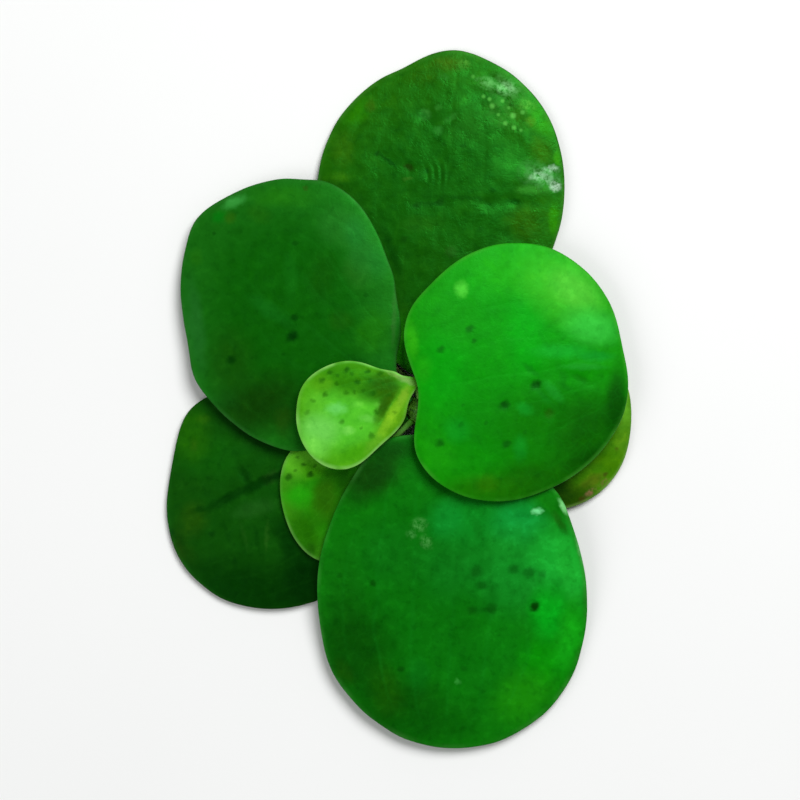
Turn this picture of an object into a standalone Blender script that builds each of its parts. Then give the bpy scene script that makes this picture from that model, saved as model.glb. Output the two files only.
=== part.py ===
# A floating plant with large round leaves, picked from the water and lying on a flat surface.
# Eight leaves overlap in a stack over a short hidden crown with five short roots.
# Sizes are in millimetres and are turned into metres as each mesh is made.
# X points right and Y points to the top of the plant seen from above. The surface is at Z = 0.
import math

import bmesh
import bpy
from mathutils import Vector

MM = 0.001
GAP = 0.3

# Leaf blade
BLADE_HALF_THICKNESS = 0.45
YOUNG_HALF_THICKNESS = 0.3
CUSHION_REACH = 0.55
EDGE_ROUNDING = 0.5
BLADE_SEGMENTS = 36
BLADE_RINGS = 12
YOUNG_SEGMENTS = 28
YOUNG_RINGS = 10
NOTCH_REACH = math.radians(18)
CLIMB_START = -10.0
CLIMB_END = 12.0

# Crown
CROWN_CENTRE = Vector((2.6, -1.2, 2.4))
CROWN_RADIUS = 2.0
CROWN_HALF_HEIGHT = 1.7
CROWN_SEGMENTS = 16
CROWN_RINGS = 10

# Leaf stalks and roots
STALK_RADIUS = 0.62
YOUNG_STALK_RADIUS = 0.36
STALK_END_SHARE = 0.55
STALK_REACH_SHARE = 0.74
STALK_EDGE_SHARE = 0.97
STALK_SINK = 0.25
STALK_STEPS = 3
ROOT_START_RADIUS = 0.4
ROOT_START_HEIGHT = 1.3
ROOT_RADIUS = 0.7
ROOT_TIP_RADIUS = 0.35
ROOT_FULL_SHARE = 0.3
ROOT_STEPS = 3

# One entry for each leaf.
# centre, length, width, turn and egg give the outline: turn is the direction of the length in
# degrees, and a positive egg makes the far end broader. roundness 2 is an ellipse, more is squarer.
# notch is how far the blade is drawn in where the stalk joins, and base turns that place. Each
# bulge is a direction and a spread in degrees, and how far the rim stands out there, or in.
# lift is the height of the middle of the blade, rise its slope up to the stalk, climb a soft step
# towards the stalk, roll the slope across it, dome how much lower the rim is, and cushion the depth
# of the spongy pad beneath. stalk_height is how high on the crown the stalk starts.
LEAVES = {
    "leaf_lower_left": {
        "centre": (-14.8, -11.95), "length": 24.6, "width": 25.1, "turn": 215.7, "egg": -0.1,
        "roundness": 2.0, "notch": 1.6, "lift": 1.2, "rise": 0.02, "dome": 0.4,
        "cushion": 1.05, "stalk_height": 1.9, "colour": (0.008, 0.080, 0.005),
        "bulges": ((128, 22, 1.9), (-108, 25, 0.2)),
    },
    "leaf_top": {
        "centre": (4.9, 21.7), "length": 37.1, "width": 28.5, "turn": 84.3, "egg": 0.17,
        "roundness": 1.76, "lobe": -0.3, "lobe_turn": -11.4, "notch": -0.9, "lift": 1.4,
        "rise": 0.03, "dome": 0.5, "cushion": 1.2, "stalk_height": 2.2,
        "colour": (0.012, 0.125, 0.007),
        "bulges": ((20, 50, -0.35), (88, 10, 0.35), (105, 7, -0.25), (135, 20, 0.35)),
    },
    "leaf_yellowing": {
        "centre": (16.6, -2.3), "length": 20.4, "width": 21.0, "turn": 0.0, "egg": -0.05,
        "roundness": 2.2, "notch": 2.2, "lift": 1.25, "rise": 0.015, "dome": 0.4,
        "cushion": 1.0, "stalk_height": 1.9, "colour": (0.060, 0.160, 0.004),
        "bulges": ((-10, 22, -0.25),),
    },
    "leaf_second_young": {
        "centre": (-7.6, -11.1), "length": 15.0, "width": 12.5, "turn": 259.1, "egg": -0.22,
        "roundness": 2.0, "notch": 0.8, "lift": 2.48, "rise": 0.04, "dome": 0.1,
        "cushion": 0.0, "stalk_height": 3.0, "young": True, "colour": (0.045, 0.290, 0.010),
    },
    "leaf_left": {
        "centre": (-12.3, 9.75), "length": 31.3, "width": 24.4, "turn": 103.3, "egg": 0.0,
        "roundness": 2.5, "lobe": 0.2, "lobe_turn": 68.4, "notch": 0.4, "lift": 3.0,
        "rise": 0.07, "dome": 0.5, "cushion": 0.8, "stalk_height": 3.1,
        "colour": (0.007, 0.105, 0.005),
        "bulges": (
            (-147, 14, 0.55), (-110, 18, -0.5), (-22, 10, -0.7), (20, 8, 0.3), (86, 8, -0.3),
            (136, 10, 0.4),
        ),
    },
    "leaf_bottom": {
        "centre": (5.8, -20.95), "length": 37.5, "width": 30.9, "turn": -81.2, "egg": 0.17,
        "roundness": 2.0, "lobe": 0.37, "lobe_turn": 37.2, "notch": 1.8, "base": 88.0,
        "lift": 1.75, "rise": 0.0, "climb": 2.4, "roll": 0.03, "dome": 0.5, "cushion": 2.4,
        "stalk_height": 2.7, "colour": (0.006, 0.145, 0.008),
        "bulges": ((-146, 14, 0.4), (-10, 30, -0.2), (40, 10, 0.45), (150, 22, -0.3)),
    },
    "leaf_young": {
        "centre": (-4.6, -0.75), "length": 14.7, "width": 10.7, "turn": 208.9, "egg": 0.57,
        "roundness": 2.0, "lobe": 0.46, "lobe_turn": -15.3, "notch": -0.2, "base": 24.0,
        "lift": 4.9, "rise": -0.05, "dome": 0.1, "cushion": 0.0, "stalk_height": 3.6,
        "young": True, "colour": (0.150, 0.560, 0.070),
        "bulges": ((5, 14, -0.3), (23, 7, 0.5), (33, 6, -0.75)),
    },
    "leaf_right": {
        "centre": (13.0, 3.1), "length": 26.9, "width": 30.2, "turn": -18.3, "egg": -0.08,
        "roundness": 1.92, "notch": 2.8, "base": 189.5, "lift": 4.6, "rise": 0.13, "roll": 0.025,
        "dome": 0.5, "cushion": 0.9, "stalk_height": 3.7, "stalk_edge": 0.66,
        "stalk_sink": 0.9, "colour": (0.010, 0.290, 0.008),
        "bulges": (
            (-154, 11, -0.75), (14, 20, -0.6), (80, 30, -0.3), (148, 12, 0.35), (172, 9, -0.7),
        ),
    },
}

# The route of each root over the surface, after it has come down from the crown.
ROOT_ROUTES = {
    "root_1": ((4.4, -4.6), (5.6, -7.2), (8.5, -11.5), (12.0, -14.5), (15.5, -16.0)),
    "root_2": ((1.6, -4.6), (0.7, -7.4), (-0.7, -11.5), (-0.8, -16.0)),
    "root_3": ((-0.9, -1.3), (-3.4, -1.6), (-6.5, -0.6), (-11.0, 1.7), (-16.0, 2.1), (-20.0, 4.0)),
    "root_4": ((-0.7, 0.8), (-3.6, 2.2), (-8.0, 4.6), (-12.0, 5.6), (-17.0, 8.2)),
    "root_5": ((1.3, 2.2), (-1.2, 4.3), (-4.8, 7.0), (-8.0, 9.4), (-11.5, 12.3), (-15.4, 14.6)),
}


def clear_scene():
    for item in list(bpy.data.objects):
        bpy.data.objects.remove(item, do_unlink=True)


def new_collection(name):
    collection = bpy.data.collections.new(name)
    bpy.context.scene.collection.children.link(collection)
    return collection


def new_material(name, colour, roughness):
    material = bpy.data.materials.new(name)
    material.use_nodes = True
    shader = material.node_tree.nodes["Principled BSDF"]
    shader.inputs["Base Color"].default_value = (*colour, 1.0)
    shader.inputs["Roughness"].default_value = roughness
    shader.inputs["Metallic"].default_value = 0.0
    return material


def signed_power(value, power):
    return math.copysign(abs(value) ** power, value)


def base_angle(leaf):
    # The direction from the middle of the blade to where its stalk joins.
    if "base" in leaf:
        return math.radians(leaf["base"])
    x, y = leaf["centre"]
    return math.atan2(CROWN_CENTRE.y - y, CROWN_CENTRE.x - x)


def rim_offset(leaf, angle):
    # From the middle of the blade to its rim: an egg-shaped superellipse, with a soft
    # three-lobed term, a notch at the stalk and the leaf's own bulges.
    power = 2.0 / leaf["roundness"]
    along = signed_power(math.cos(angle), power)
    across = signed_power(math.sin(angle), power)
    x = leaf["length"] / 2 * along
    y = leaf["width"] / 2 * across * (1 + leaf["egg"] * along)
    turn = math.radians(leaf["turn"])
    offset = Vector((x * math.cos(turn) - y * math.sin(turn), x * math.sin(turn) + y * math.cos(turn)))
    heading = math.atan2(offset.y, offset.x)
    lobe = leaf.get("lobe", 0.0) * math.cos(3 * (heading - math.radians(leaf.get("lobe_turn", 0.0))))
    aside = math.remainder(heading - base_angle(leaf), 2 * math.pi)
    change = lobe - leaf["notch"] * math.exp(-((aside / NOTCH_REACH) ** 2))
    for toward, spread, amount in leaf.get("bulges", ()):
        away = math.remainder(heading - math.radians(toward), 2 * math.pi) / math.radians(spread)
        change += amount * math.exp(-(away ** 2))
    return offset * (1 + change / offset.length)


def middle_height(leaf, offset, share):
    # Height of the middle of the blade at this offset, where share is 0 at its centre and 1 at its rim.
    angle = base_angle(leaf)
    inward = offset.x * math.cos(angle) + offset.y * math.sin(angle)
    across = offset.y * math.cos(angle) - offset.x * math.sin(angle)
    slope = leaf["rise"] * inward + leaf.get("roll", 0.0) * across
    step = min(1.0, max(0.0, (inward - CLIMB_START) / (CLIMB_END - CLIMB_START)))
    climb = leaf.get("climb", 0.0) * step ** 2 * (3 - 2 * step)
    return leaf["lift"] + slope + climb - leaf["dome"] * share ** 2


def half_thickness(leaf):
    return YOUNG_HALF_THICKNESS if leaf.get("young") else BLADE_HALF_THICKNESS


def blade_point(leaf, angle, share, side):
    # side runs from 1 on the upper face to -1 on the lower face and is 0 on the rim.
    offset = rim_offset(leaf, angle) * share
    depth = abs(side) ** EDGE_ROUNDING * half_thickness(leaf)
    height = middle_height(leaf, offset, share)
    if side > 0:
        height += depth
    else:
        pad = leaf["cushion"] * math.exp(-((share / CUSHION_REACH) ** 2)) * abs(side) ** EDGE_ROUNDING
        height = max(0.0, height - depth - pad)
    x, y = leaf["centre"]
    return Vector((x + offset.x, y + offset.y, height))


def make_blade(name, leaf, collection):
    # A sphere whose circles of latitude become rings of the upper and lower face.
    young = leaf.get("young")
    mesh = bpy.data.meshes.new(name)
    shape = bmesh.new()
    bmesh.ops.create_uvsphere(
        shape,
        u_segments=YOUNG_SEGMENTS if young else BLADE_SEGMENTS,
        v_segments=YOUNG_RINGS if young else BLADE_RINGS,
        radius=1.0,
    )
    for vertex in shape.verts:
        share = min(1.0, math.hypot(vertex.co.x, vertex.co.y))
        angle = math.atan2(vertex.co.y, vertex.co.x)
        side = 0.0 if abs(vertex.co.z) < 1e-6 else vertex.co.z
        vertex.co = blade_point(leaf, angle, share, side) * MM
    bmesh.ops.triangulate(shape, faces=shape.faces[:])
    shape.to_mesh(mesh)
    shape.free()
    mesh.shade_smooth()
    blade = bpy.data.objects.new(name, mesh)
    collection.objects.link(blade)
    return blade


def make_tube(name, points, radii, collection):
    # A curve through the points, with its own radius at each of them and filled caps.
    curve = bpy.data.curves.new(name, "CURVE")
    curve.dimensions = "3D"
    curve.bevel_depth = MM
    curve.bevel_resolution = 2
    curve.use_fill_caps = True
    spline = curve.splines.new("POLY")
    spline.points.add(len(points) - 1)
    for place, point, radius in zip(spline.points, points, radii):
        place.co = (*(point * MM), 1.0)
        place.radius = radius
    tube = bpy.data.objects.new(name, curve)
    collection.objects.link(tube)
    return tube


def curve_to_mesh(tube, collection):
    # A closed mesh in place of the curve, so that it can be joined to another mesh.
    graph = bpy.context.evaluated_depsgraph_get()
    mesh = bpy.data.meshes.new_from_object(tube.evaluated_get(graph))
    shape = bmesh.new()
    shape.from_mesh(mesh)
    bmesh.ops.remove_doubles(shape, verts=shape.verts[:], dist=1e-6)
    bmesh.ops.recalc_face_normals(shape, faces=shape.faces[:])
    shape.to_mesh(mesh)
    shape.free()
    joined = bpy.data.objects.new(tube.name + "_joined", mesh)
    joined.matrix_world = tube.matrix_world
    joined.hide_render = True
    joined.display_type = "WIRE"
    collection.objects.link(joined)
    bpy.data.objects.remove(tube, do_unlink=True)
    return joined


def smooth_route(points, steps):
    # Points along a Catmull-Rom curve through the given ones.
    ends = [points[0] * 2 - points[1], *points, points[-1] * 2 - points[-2]]
    route = []
    for before, start, end, after in zip(ends, ends[1:], ends[2:], ends[3:]):
        for step in range(steps):
            t = step / steps
            route.append(
                0.5
                * (
                    2 * start
                    + (end - before) * t
                    + (2 * before - 5 * start + 4 * end - after) * t ** 2
                    + (3 * start - before - 3 * end + after) * t ** 3
                )
            )
    route.append(points[-1])
    return route


def crown_surface(direction, height, thickness):
    # Where a tube of this radius starts, one gap outside the crown in a horizontal direction.
    level = max(0.0, abs(height - CROWN_CENTRE.z) - thickness) / CROWN_HALF_HEIGHT
    radius = CROWN_RADIUS * math.sqrt(max(0.0, 1 - level ** 2)) + GAP
    side = Vector((direction.x, direction.y, 0)).normalized()
    return Vector((CROWN_CENTRE.x, CROWN_CENTRE.y, height)) + side * radius


def stalk_points(leaf, thickness):
    # From the crown to the rim at the notch, and on into the thickness of the blade.
    angle = base_angle(leaf)
    radius = rim_offset(leaf, angle - math.radians(leaf["turn"])).length
    heading = Vector((math.cos(angle), math.sin(angle)))
    x, y = leaf["centre"]
    ends = []
    edge_share = leaf.get("stalk_edge", STALK_EDGE_SHARE)
    inner_share = edge_share - STALK_EDGE_SHARE + STALK_REACH_SHARE
    for share, sink in ((inner_share, 0.0), (edge_share, leaf.get("stalk_sink", STALK_SINK))):
        offset = heading * radius * share
        ends.append(Vector((x + offset.x, y + offset.y, middle_height(leaf, offset, share) - sink)))
    inner, edge = ends
    start = crown_surface(edge - CROWN_CENTRE, leaf["stalk_height"], thickness)
    return smooth_route([start, (start + edge) / 2, edge, inner], STALK_STEPS)


def make_leaf(name, leaf, parts, cutters):
    blade = make_blade(name, leaf, parts)
    thick = YOUNG_STALK_RADIUS if leaf.get("young") else STALK_RADIUS
    points = stalk_points(leaf, thick)
    last = len(points) - 1
    radii = [thick * (1 + (STALK_END_SHARE - 1) * index / last) for index in range(last + 1)]
    stalk = curve_to_mesh(make_tube(name + "_stalk", points, radii, cutters), cutters)
    join = blade.modifiers.new("Join stalk", "BOOLEAN")
    join.operation = "UNION"
    join.object = stalk
    blade.data.materials.append(new_material(name + "_green", leaf["colour"], 0.25))
    return blade


def make_crown(parts):
    mesh = bpy.data.meshes.new("crown")
    shape = bmesh.new()
    bmesh.ops.create_uvsphere(shape, u_segments=CROWN_SEGMENTS, v_segments=CROWN_RINGS, radius=1.0)
    for vertex in shape.verts:
        vertex.co.x *= CROWN_RADIUS
        vertex.co.y *= CROWN_RADIUS
        vertex.co.z *= CROWN_HALF_HEIGHT
        vertex.co = (vertex.co + CROWN_CENTRE) * MM
    shape.to_mesh(mesh)
    shape.free()
    mesh.shade_smooth()
    crown = bpy.data.objects.new("crown", mesh)
    crown.data.materials.append(new_material("crown_pale", (0.230, 0.330, 0.080), 0.5))
    parts.objects.link(crown)


def root_radius(share):
    # The hairs start a little way from the crown, so the outline is narrow there and at the tip.
    if share < ROOT_FULL_SHARE:
        near = share / ROOT_FULL_SHARE
        return ROOT_START_RADIUS + (ROOT_RADIUS - ROOT_START_RADIUS) * near
    far = (share - ROOT_FULL_SHARE) / (1 - ROOT_FULL_SHARE)
    return ROOT_RADIUS + (ROOT_TIP_RADIUS - ROOT_RADIUS) * far ** 2


def make_root(name, route, parts, material):
    # The outer form of the root and its fine hairs, resting on the surface.
    first = Vector((*route[0], 0)) - CROWN_CENTRE
    start = crown_surface(first, ROOT_START_HEIGHT, ROOT_START_RADIUS)
    points = smooth_route([start, *(Vector((x, y, 0)) for x, y in route)], ROOT_STEPS)
    last = len(points) - 1
    radii = [root_radius(index / last) for index in range(last + 1)]
    for point, radius in zip(points, radii):
        point.z = max(point.z, radius)
    root = make_tube(name, points, radii, parts)
    root.data.materials.append(material)


def main():
    clear_scene()
    parts = new_collection("floating_plant")
    cutters = new_collection("cutters")
    make_crown(parts)
    for name, leaf in LEAVES.items():
        make_leaf(name, leaf, parts, cutters)
    root_material = new_material("root_tan", (0.300, 0.250, 0.120), 0.7)
    for name, route in ROOT_ROUTES.items():
        make_root(name, route, parts, root_material)


main()
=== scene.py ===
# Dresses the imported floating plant: eight thick round leaves stacked round a short crown,
# with five short hairy roots under them, lying on a pale table and seen from straight above.
# Measures are in millimetres, X to the right and Y to the top of the plant. Angles are in
# degrees, anticlockwise from X. A scale is how often a pattern repeats in a millimetre, and a
# fade is the stretch over which something grows from nothing to full.
import math

import bpy
import numpy as np
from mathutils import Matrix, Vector, noise


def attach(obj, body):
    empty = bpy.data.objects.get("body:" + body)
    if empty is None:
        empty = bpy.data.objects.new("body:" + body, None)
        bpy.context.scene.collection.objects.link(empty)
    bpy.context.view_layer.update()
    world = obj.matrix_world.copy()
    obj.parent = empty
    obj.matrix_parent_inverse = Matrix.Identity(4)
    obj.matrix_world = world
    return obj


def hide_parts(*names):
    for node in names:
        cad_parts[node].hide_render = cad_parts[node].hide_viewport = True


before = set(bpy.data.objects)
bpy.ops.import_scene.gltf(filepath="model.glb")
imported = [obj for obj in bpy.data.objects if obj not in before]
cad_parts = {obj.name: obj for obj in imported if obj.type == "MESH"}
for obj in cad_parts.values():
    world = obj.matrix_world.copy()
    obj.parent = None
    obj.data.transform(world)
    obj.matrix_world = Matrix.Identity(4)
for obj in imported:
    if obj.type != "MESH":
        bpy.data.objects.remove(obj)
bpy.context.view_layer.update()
mm = 0.001
print("frame loaded:", len(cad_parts), "nodes")


# Small helpers for numbers and colours.
def paint(red, green, blue):
    # a screen colour, 0 to 255, as the linear colour that a shader wants
    screen = [channel / 255 for channel in (red, green, blue)]
    linear = [s / 12.92 if s <= 0.04045 else ((s + 0.055) / 1.055) ** 2.4 for s in screen]
    return (*linear, 1.0)


def signedPower(values, power):
    return np.sign(values) * np.abs(values) ** power


def softStep(values, start, end):
    step = np.clip((values - start) / (end - start), 0.0, 1.0)
    return step ** 2 * (3 - 2 * step)


def bell(values):
    # 1 at nought, falling softly to nothing by about 2 on both sides
    return np.exp(-(values ** 2))


def wrapped(angles):
    return (angles + np.pi) % (2 * np.pi) - np.pi


def roughField(points, size, seed):
    # smooth noise from -1 to 1 at each point, with bumps of about this size
    shift = Vector((seed * 17.3, seed * 5.1, seed * 9.7))
    return np.array([noise.noise(Vector(point) / size + shift) for point in points.tolist()])


def planField(plan, level, size, seed):
    # the same noise at places in plan, cut at this level
    return roughField(np.column_stack([plan, np.full(len(plan), float(level))]), size, seed)


def cellField(plan, size, seed):
    # 0 on the walls between cells of this size, rising towards the middle of each
    shift = Vector((seed * 11.9, seed * 3.7, 0.0))
    found = [noise.voronoi(Vector((x, y, 0.0)) / size + shift)[0] for x, y in plan.tolist()]
    return np.array([distance[1] - distance[0] for distance in found])


def segmentDistance(points, start, end):
    # from each point to a straight run, and how far along the run that is
    start, end = np.array(start), np.array(end)
    run = end - start
    share = np.clip(((points - start) @ run) / run.dot(run), 0, 1)
    return np.hypot(*(points - start - share[:, None] * run).T), share


def smoothRoute(points, steps):
    # points along a Catmull-Rom curve through the given ones
    given = np.array(points, float)
    ends = np.vstack([2 * given[0] - given[1], given, 2 * given[-1] - given[-2]])
    route = []
    for before, start, end, after in zip(ends, ends[1:], ends[2:], ends[3:]):
        for t in np.arange(steps) / steps:
            bend = (2 * before - 5 * start + 4 * end - after) * t ** 2
            twist = (3 * start - before - 3 * end + after) * t ** 3
            route.append(0.5 * (2 * start + (end - before) * t + bend + twist))
    route.append(given[-1])
    return np.array(route)


# Small helpers for meshes.
def newMesh(name, points, faces):
    # points are in millimetres, the mesh is in metres
    mesh = bpy.data.meshes.new(name)
    mesh.from_pydata((np.asarray(points) * mm).tolist(), [], faces)
    mesh.validate()
    mesh.shade_smooth()
    return mesh


def newPiece(name, mesh):
    piece = bpy.data.objects.new(name, mesh)
    bpy.context.scene.collection.objects.link(piece)
    return piece


def gridFaces(rings, sides, first=0):
    # quads between closed rings of this many sides
    faces = []
    for ring in range(rings - 1):
        for side in range(sides):
            after = (side + 1) % sides
            here, there = first + ring * sides, first + (ring + 1) * sides
            faces.append((here + side, here + after, there + after, there + side))
    return faces


def tubeShell(route, radii, sides, ridges, ridgeDepth):
    # a closed tube along the route, with shallow ridges along it
    tangents = np.gradient(route, axis=0)
    tangents /= np.linalg.norm(tangents, axis=1)[:, None]
    normal = np.cross(tangents[0], (0.0, 0.0, 1.0))
    around = np.arange(sides) * 2 * np.pi / sides
    swell = 1 + ridgeDepth * np.cos(ridges * around)
    points = []
    for place, tangent, radius in zip(route, tangents, radii):
        normal = normal - tangent * normal.dot(tangent)
        normal /= np.linalg.norm(normal)
        across = np.cross(tangent, normal)
        ring = np.outer(np.cos(around) * swell, normal) + np.outer(np.sin(around) * swell, across)
        points.append(place + ring * radius)
    points = np.vstack([*points, route[:1], route[-1:]])
    faces = gridFaces(len(route), sides)
    last = len(route) * sides
    for side in range(sides):
        after = (side + 1) % sides
        faces.append((side, last, after))
        faces.append((last - sides + after, last + 1, last - sides + side))
    return points, faces


def weld(name, first, second):
    # one closed skin from two closed skins that overlap
    base, tool = newPiece(name, first), newPiece(name + "Tool", second)
    join = base.modifiers.new("join", "BOOLEAN")
    join.operation = "UNION"
    join.solver = "MANIFOLD"
    join.object = tool
    graph = bpy.context.evaluated_depsgraph_get()
    mesh = bpy.data.meshes.new_from_object(base.evaluated_get(graph))
    mesh.name = name
    bpy.data.objects.remove(tool, do_unlink=True)
    bpy.data.objects.remove(base, do_unlink=True)
    mesh.shade_smooth()
    return mesh


# Small helpers for materials.
def wire(node, wires):
    # a socket is linked to the input of that name, a number or a colour is set there
    for key, value in wires.items():
        if isinstance(value, bpy.types.NodeSocket):
            node.id_data.links.new(value, node.inputs[key])
        else:
            node.inputs[key].default_value = value


def addNode(kind, wires, out=0, **settings):
    # what a new node gives, in the tree of the sockets that it is wired to
    tree = next(value.id_data for value in wires.values() if isinstance(value, bpy.types.NodeSocket))
    made = tree.nodes.new("ShaderNode" + kind)
    for key, value in settings.items():
        setattr(made, key, value)
    wire(made, wires)
    return made.outputs[out]


def calc(operation, first, second):
    return addNode("Math", {0: first, 1: second}, operation=operation)


def times(first, second):
    return calc("MULTIPLY", first, second)


def ramp(value, start, end, low=0.0, high=1.0):
    # soft step from low to high as the value goes from start to end
    wires = {"Value": value, "From Min": start, "From Max": end, "To Min": low, "To Max": high}
    return addNode("MapRange", wires, interpolation_type="SMOOTHSTEP")


def blend(factor, first, second, way="MIX"):
    return addNode("Mix", {0: factor, 6: first, 7: second}, 2, data_type="RGBA", blend_type=way)


def speckle(place, scale, detail=2.0, roughness=0.5):
    return addNode("TexNoise", {"Vector": place, "Scale": scale, "Detail": detail, "Roughness": roughness})


def wallDistance(place, scale):
    # how far each place is from the walls of a net of cells
    return addNode("TexVoronoi", {"Vector": place, "Scale": scale}, feature="DISTANCE_TO_EDGE")


def patchMask(place, spot, amount=1.0):
    # 1 in the middle of an oval patch, 0 from its edge out
    x, y, reachX, reachY, *turn = spot
    wires = {"Vector": place, "Location": (x, y, 0.0), "Scale": (reachX, reachY, 1000.0)}
    wires["Rotation"] = (0.0, 0.0, math.radians(sum(turn)))
    local = addNode("Mapping", wires, vector_type="TEXTURE")
    return ramp(addNode("VectorMath", {0: local}, "Value", operation="LENGTH"), 1.0, 0.2, 0.0, amount)


def shifted(place, scale, reach):
    # the same places, each moved a little, so that what is painted there has uneven edges
    drift = addNode("TexNoise", {"Vector": place, "Scale": scale, "Detail": 2.0}, "Color")
    push = addNode("VectorMath", {0: drift, 1: (0.5,) * 3}, operation="SUBTRACT")
    return addNode("VectorMath", {0: push, 1: (reach,) * 3, 2: place}, operation="MULTIPLY_ADD")


def startPaint(name):
    # a new material, and the place of each point in millimetres
    material = bpy.data.materials.new(name)
    material.use_nodes = True
    nodes = material.node_tree.nodes
    spot = nodes.new("ShaderNodeTexCoord").outputs["Object"]
    place = addNode("VectorMath", {0: spot, 1: (1000.0,) * 3}, operation="MULTIPLY")
    return material, nodes["Principled BSDF"], place


def finishPaint(shader, colour, roughness, height, strength, depth):
    bump = addNode("Bump", {"Height": height, "Strength": strength, "Distance": depth * mm})
    wire(shader, {"Base Color": colour, "Roughness": roughness, "Normal": bump})


# The crown: a knob with shallow lobes and the rings that old leaves left.
crownLook = {
    "centre": (2.6, -1.2, 2.4), "radius": 2.0, "halfHeight": 1.7, "margin": 0.3, "sides": 96,
    "rings": 60, "lobes": 8, "lobeDepth": 0.1, "lobeTwist": 2.2, "sheathSteps": 5, "sheathDepth": 0.05,
    "sheathWaver": 0.8, "grainSize": 0.16, "grainDepth": 0.03, "fibreScale": 2.4, "agedScale": 0.7,
    "pale": (96, 176, 30), "dark": (42, 118, 8), "aged": (72, 124, 26), "agedShare": 0.5,
    "roughness": (0.42, 0.6), "bumpStrength": 0.7, "bumpHeight": 0.12,
}


def crownReach(height, thick):
    # from the crown's axis to where something this thick, at this height, comes out of the skin
    level = max(0.0, abs(height - crownLook["centre"][2]) - thick) / crownLook["halfHeight"]
    return crownLook["radius"] * math.sqrt(max(0.0, 1 - level ** 2)) + crownLook["margin"]


def crownPiece():
    sides, rings = crownLook["sides"], crownLook["rings"]
    across = np.tile(np.arange(sides) * 2 * np.pi / sides, rings - 1)
    down = np.repeat(np.linspace(0, np.pi, rings + 1)[1:-1], sides)
    ball = np.column_stack([np.sin(down) * np.cos(across), np.sin(down) * np.sin(across), np.cos(down)])
    ball = np.vstack([ball, [0, 0, 1], [0, 0, -1]])
    across = np.append(across, [0.0, 0.0])
    twist = crownLook["lobes"] * across + crownLook["lobeTwist"] * ball[:, 2]
    lobes = crownLook["lobeDepth"] * (0.5 - 0.5 * np.cos(twist))
    steps = (ball[:, 2] * crownLook["sheathSteps"] + crownLook["sheathWaver"] * np.sin(across * 2)) % 1
    grain = crownLook["grainDepth"] * (1 + roughField(ball, crownLook["grainSize"], 4))
    ball = ball * (1 - lobes * (1 - ball[:, 2] ** 2) - crownLook["sheathDepth"] * steps - grain)[:, None]
    size = np.array((crownLook["radius"], crownLook["radius"], crownLook["halfHeight"]))
    points = ball * size + np.array(crownLook["centre"])
    faces = gridFaces(rings - 1, sides)
    last = (rings - 1) * sides
    for here in range(sides):
        after = (here + 1) % sides
        faces.append((last, after, here))
        faces.append((last - sides + here, last - sides + after, last + 1))
    return newPiece("plantCrown", newMesh("plantCrown", points, [face[::-1] for face in faces]))


def crownPaint():
    material, shader, place = startPaint("crownPaint")
    upright = addNode("Mapping", {"Vector": place, "Scale": (1.0, 1.0, 0.25)})
    fibres = speckle(upright, crownLook["fibreScale"], 4.0, 0.6)
    spread = speckle(place, crownLook["agedScale"])
    pale, dark, aged = (paint(*crownLook[key]) for key in ("pale", "dark", "aged"))
    colour = blend(ramp(fibres, 0.38, 0.66), pale, dark)
    colour = blend(ramp(spread, 0.4, 0.7, 0.0, crownLook["agedShare"]), colour, aged)
    roughness = ramp(spread, 0.3, 0.7, *crownLook["roughness"])
    finishPaint(shader, colour, roughness, fibres, crownLook["bumpStrength"], crownLook["bumpHeight"])
    return material


# The leaf blade. The same outline and height rules as the plant's solid, on a much finer net.
# Fades and the vein spacing are parts of the way from the middle of the blade to its rim,
# apart from wallFade, which is a part of a cell.
blade = {
    "segments": 216, "topRings": 60, "lowRings": 34, "rimSteps": 720, "edgeRounding": 0.5,
    "edgeThinning": 0.2, "cushionReach": 0.55, "notchReach": math.radians(18), "climbStart": -10.0,
    "climbEnd": 12.0, "veinSpacing": 0.27, "veinDepth": 0.012, "veinHalfWidth": 0.28, "veinWaver": 0.05,
    "veinWaverSize": 5.0, "underVeinHeight": 0.1, "underVeinHalfWidth": 0.3, "cellSize": 1.15,
    "cellHeight": 0.16, "waveSize": 7.0, "crinkleSize": 2.6, "fineCrinkleSize": 1.2, "rimWobble": 0.07,
    "rimWobbleSize": 3.5, "veinFade": (0.03, 0.3), "waveFade": (0.0, 0.6), "crinkleFade": (0.0, 0.12),
    "padShare": 0.85, "padFade": (0.0, 0.45), "wallFade": (0.0, 0.35), "ribFade": (0.45, 0.7),
    "ribEndFade": (0.02, 0.15),
}

# The stalk, welded to the blade from below.
stalk = {
    "endShare": 0.55, "edgeShare": 0.97, "reachShare": 0.74, "steps": 12, "sides": 28, "ridges": 9,
    "ridgeDepth": 0.03, "rootedIn": 0.55,
}


def baseAngle(leaf):
    # the direction from the middle of the blade to where its stalk joins
    if "base" in leaf:
        return math.radians(leaf["base"])
    x, y = leaf["centre"]
    return math.atan2(crownLook["centre"][1] - y, crownLook["centre"][0] - x)


def rimOffsets(leaf, angles):
    # from the middle of the blade to its rim, for each angle
    power = 2.0 / leaf["roundness"]
    along = signedPower(np.cos(angles), power)
    across = signedPower(np.sin(angles), power)
    x = leaf["length"] / 2 * along
    y = leaf["width"] / 2 * across * (1 + leaf["egg"] * along)
    turn = math.radians(leaf["turn"])
    offsets = np.stack([x * np.cos(turn) - y * np.sin(turn), x * np.sin(turn) + y * np.cos(turn)], 1)
    heading = np.arctan2(offsets[:, 1], offsets[:, 0])
    lobe = leaf["lobe"] * np.cos(3 * (heading - math.radians(leaf["lobeTurn"])))
    change = lobe - leaf["notch"] * bell(wrapped(heading - baseAngle(leaf)) / blade["notchReach"])
    for toward, spread, amount in leaf["bulges"]:
        change = change + amount * bell(wrapped(heading - math.radians(toward)) / math.radians(spread))
    return offsets * (1 + change / np.hypot(offsets[:, 0], offsets[:, 1]))[:, None]


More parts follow.
